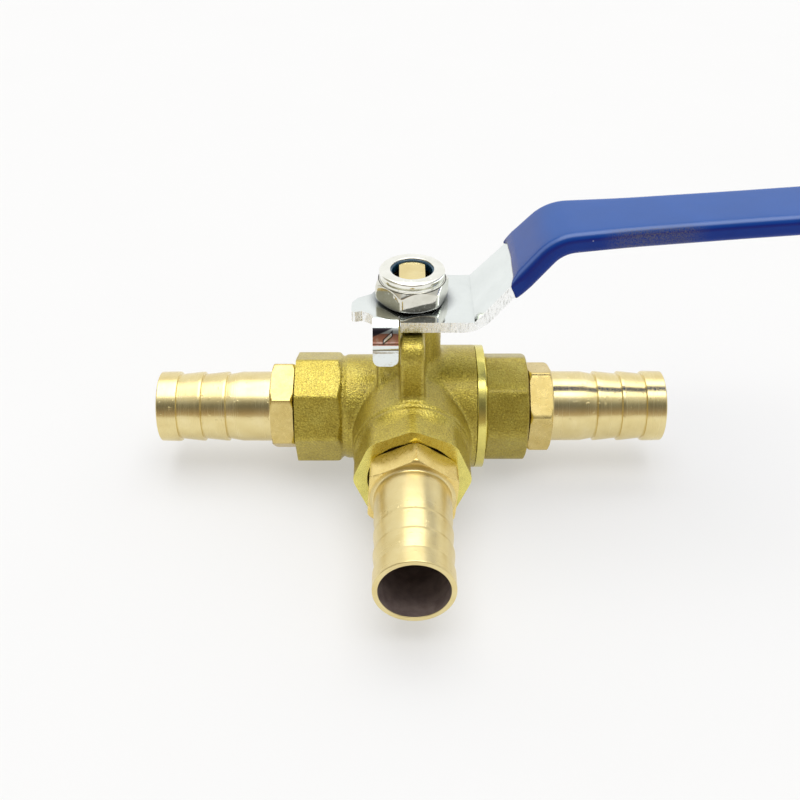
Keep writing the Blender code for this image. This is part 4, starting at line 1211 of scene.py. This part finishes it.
def floor():
    size = 3.0
    mesh = bpy.data.meshes.new("floor")
    corners = [(-size, -size, 0), (size, -size, 0), (size, size, 0), (-size, size, 0)]
    mesh.from_pydata(corners, [], [(0, 1, 2, 3)])
    made = bpy.data.objects.new("floor", mesh)
    bpy.context.scene.collection.objects.link(made)
    f = Finish("light_table", 0.0)
    f.set("Base Color", f.patches(60.0, FLOOR_GREY * 0.995, FLOOR_GREY * 1.005, low=0.3, high=0.7))
    f.set("Roughness", 1.0)
    f.set("Specular IOR Level", 0.0)
    f.set("Emission Color", (1.0, 1.0, 1.0))
    f.set("Emission Strength", FLOOR_GLOW)
    mesh.materials.append(f.material)


FLOOR_GREY = 0.44
FLOOR_GLOW = 0.43
# Where the overhead softbox's edges are seen from the valve: sideways and backward distance over height.
SOFTBOX_X = (-0.42, 0.5)
SOFTBOX_Y = (-0.42, 0.95)


def room(n, x, y, z):
    """Everything but the softbox: white backdrop, walls, and the dark camera in front."""
    # Height round the sky, from the horizon in front (0) over the top (0.5) to the one behind (1).
    height = n.math("DIVIDE", n.math("ARCTAN2", z, n.math("MULTIPLY", y, -1.0)), math.pi)
    middle = n.ramp(height, [(0.0, (0.6, 0.52, 0.42)), (0.06, (0.42, 0.34, 0.26)), (0.12, (0.27, 0.23, 0.19)),
                             (0.19, 0.16), (0.24, (0.2, 0.2, 0.19)), (0.3, 0.45), (0.345, 0.9), (0.42, 1.0),
                             (0.75, 1.0), (1.0, 0.98)])
    # Way round the horizon, from the camera (0) to straight behind (1).
    around = n.math("DIVIDE", n.math("ARCTAN2", n.math("ABSOLUTE", x), n.math("MULTIPLY", y, -1.0)), math.pi)
    left_wall = n.ramp(around, [(0.22, 0.7), (0.3, (0.6, 0.55, 0.46)), (0.42, (0.38, 0.36, 0.3)),
                                (0.58, (0.42, 0.4, 0.33)), (0.68, 1.0)])
    right_wall = n.ramp(around, [(0.2, 0.9), (0.3, 0.7), (0.55, 0.6), (0.68, 1.0)])
    walls = n.mix(n.range(x, 0.0, 1.0, -0.05, 0.05), left_wall, right_wall)
    upright = n.range(z, 1.0, 0.0, 0.8, 0.97, soft=True)
    beside = n.product(upright, n.range(around, 0.0, 1.0, 0.19, 0.24, soft=True))
    return n.mix(beside, middle, walls)


def studio_world():
    """Light tent with a wide softbox overhead."""
    world = bpy.data.worlds.new("studio")
    bpy.context.scene.world = world
    world.use_nodes = True
    n = Nodes(world.node_tree)
    sight = n.split(n.node("TexCoord").outputs["Generated"])
    x, y, z = (sight[axis] for axis in "XYZ")
    across = n.math("DIVIDE", x, z)
    back = n.math("DIVIDE", y, z)
    edge = 0.03
    inside = n.range(z, 0.0, 1.0, 0.0, 0.01)
    for value, (low, high) in ((across, SOFTBOX_X), (back, SOFTBOX_Y)):
        inside = n.product(inside, n.range(value, 0.0, 1.0, low - edge, low + edge, soft=True),
                           n.range(value, 1.0, 0.0, high - edge, high + edge, soft=True))
    lamp = n.range(back, 3.0, 1.5, 0.45, 0.9, soft=True)
    strength = n.math("ADD", n.product(inside, n.math("SUBTRACT", lamp, 1.0)), 1.0)
    background = n.tree.nodes["Background"]
    n.feed(n.mix(inside, room(n, x, y, z), (1.0, 1.0, 1.0)), background.inputs["Color"])
    n.feed(strength, background.inputs["Strength"])


def camera():
    """Camera at the photograph's angle, 36 degrees above the valve and square to its branch."""
    data = bpy.data.cameras.new("camera")
    data.lens = 46.56
    data.sensor_width = 36.0
    made = bpy.data.objects.new("camera", data)
    made.location = CENTRE + Vector((-3.627, -232.379, 170.444)) * MM
    made.rotation_euler = (math.radians(90.0 - 35.936), 0.0, math.radians(-0.13))
    data.clip_start = 0.01
    bpy.context.scene.collection.objects.link(made)
    bpy.context.scene.camera = made


def stage():
    floor()
    studio_world()
    bpy.context.scene.view_settings.view_transform = "Standard"
    camera()


# ---------------------------------------------------------------- assembly

def build():
    materials = {
        "forged_brass": forged_brass(),
        # A darker copy of the forged brass: painted shade on the end cap's octagon.
        "forged_brass_cap_shaded": forged_brass("forged_brass_cap_shaded", 0.82),
        "machined_brass": machined_brass(),
        "bright_ring": machined_brass("bright_ring", (0.82, 0.72, 0.2), 0.13),
        "turned_brass_x": turned_brass("turned_brass_x", 0),
        "turned_brass_y": turned_brass("turned_brass_y", 1, 0.27),
        "turned_brass_z": turned_brass("turned_brass_z", 2),
        "drawn_brass": drawn_brass(),
        # A lighter copy of the drawn brass: painted light on the branch's hexagon.
        "drawn_brass_branch_lit": drawn_brass("drawn_brass_branch_lit", 1.28),
        "shaded_thread_brass": shaded_thread_brass(),
        "dark_bore": dark_bore(),
        "chrome": chrome().material,
        "sheared_chrome": sheared_chrome(),
        "painted_tab_chrome": painted_tab_chrome(),
        "nickel": nickel(),
        "blue_vinyl": blue_vinyl(),
    }
    white, black = ptfe(), rubber()
    valve_body(materials)
    end_cap(materials)
    for side, hex_turn in (("left", 12.8), ("right", 10.0), ("branch", -4.0)):
        hose_barb(side, hex_turn, materials)
    gasket = [(13.8, 16.1, 0.1), (15.5, 16.1, 0.1), (15.5, 17.2, 0.1), (13.8, 17.2, 0.1)]
    plain_ring("cap_gasket", gasket, "right", "housing", white)
    for side in ("left", "right", "branch", "back"):
        seat(side, white)
    for side in ("branch", "back"):
        wire_ring("seat_spring_ring_" + side, 7.4, 0.62, 11.85, side, "housing", black)
    ball(polished_ball())
    stem(materials)
    washer = [(4.95, 13.65, 0.1), (5.8, 13.65, 0.1), (5.8, 14.6, 0.1), (4.95, 14.6, 0.1)]
    plain_ring("stem_thrust_washer", washer, "up", "lever_and_stem", white)
    for node, height in (("stem_o_ring_lower", 19.0), ("stem_o_ring_upper", 24.0)):
        wire_ring(node, 4.35, 0.6, height, "up", "lever_and_stem", black)
    lever_plate(materials)
    lever_sleeve(materials)
    lock_nut(materials)
    insert = [(5.05, 40.7, 0.1), (6.3, 40.7, 0.1), (6.3, 42.95, 0.3), (5.05, 42.95, 0.5)]
    plain_ring("nut_insert", insert, "up", "lever_and_stem", nylon())


build()
stage()
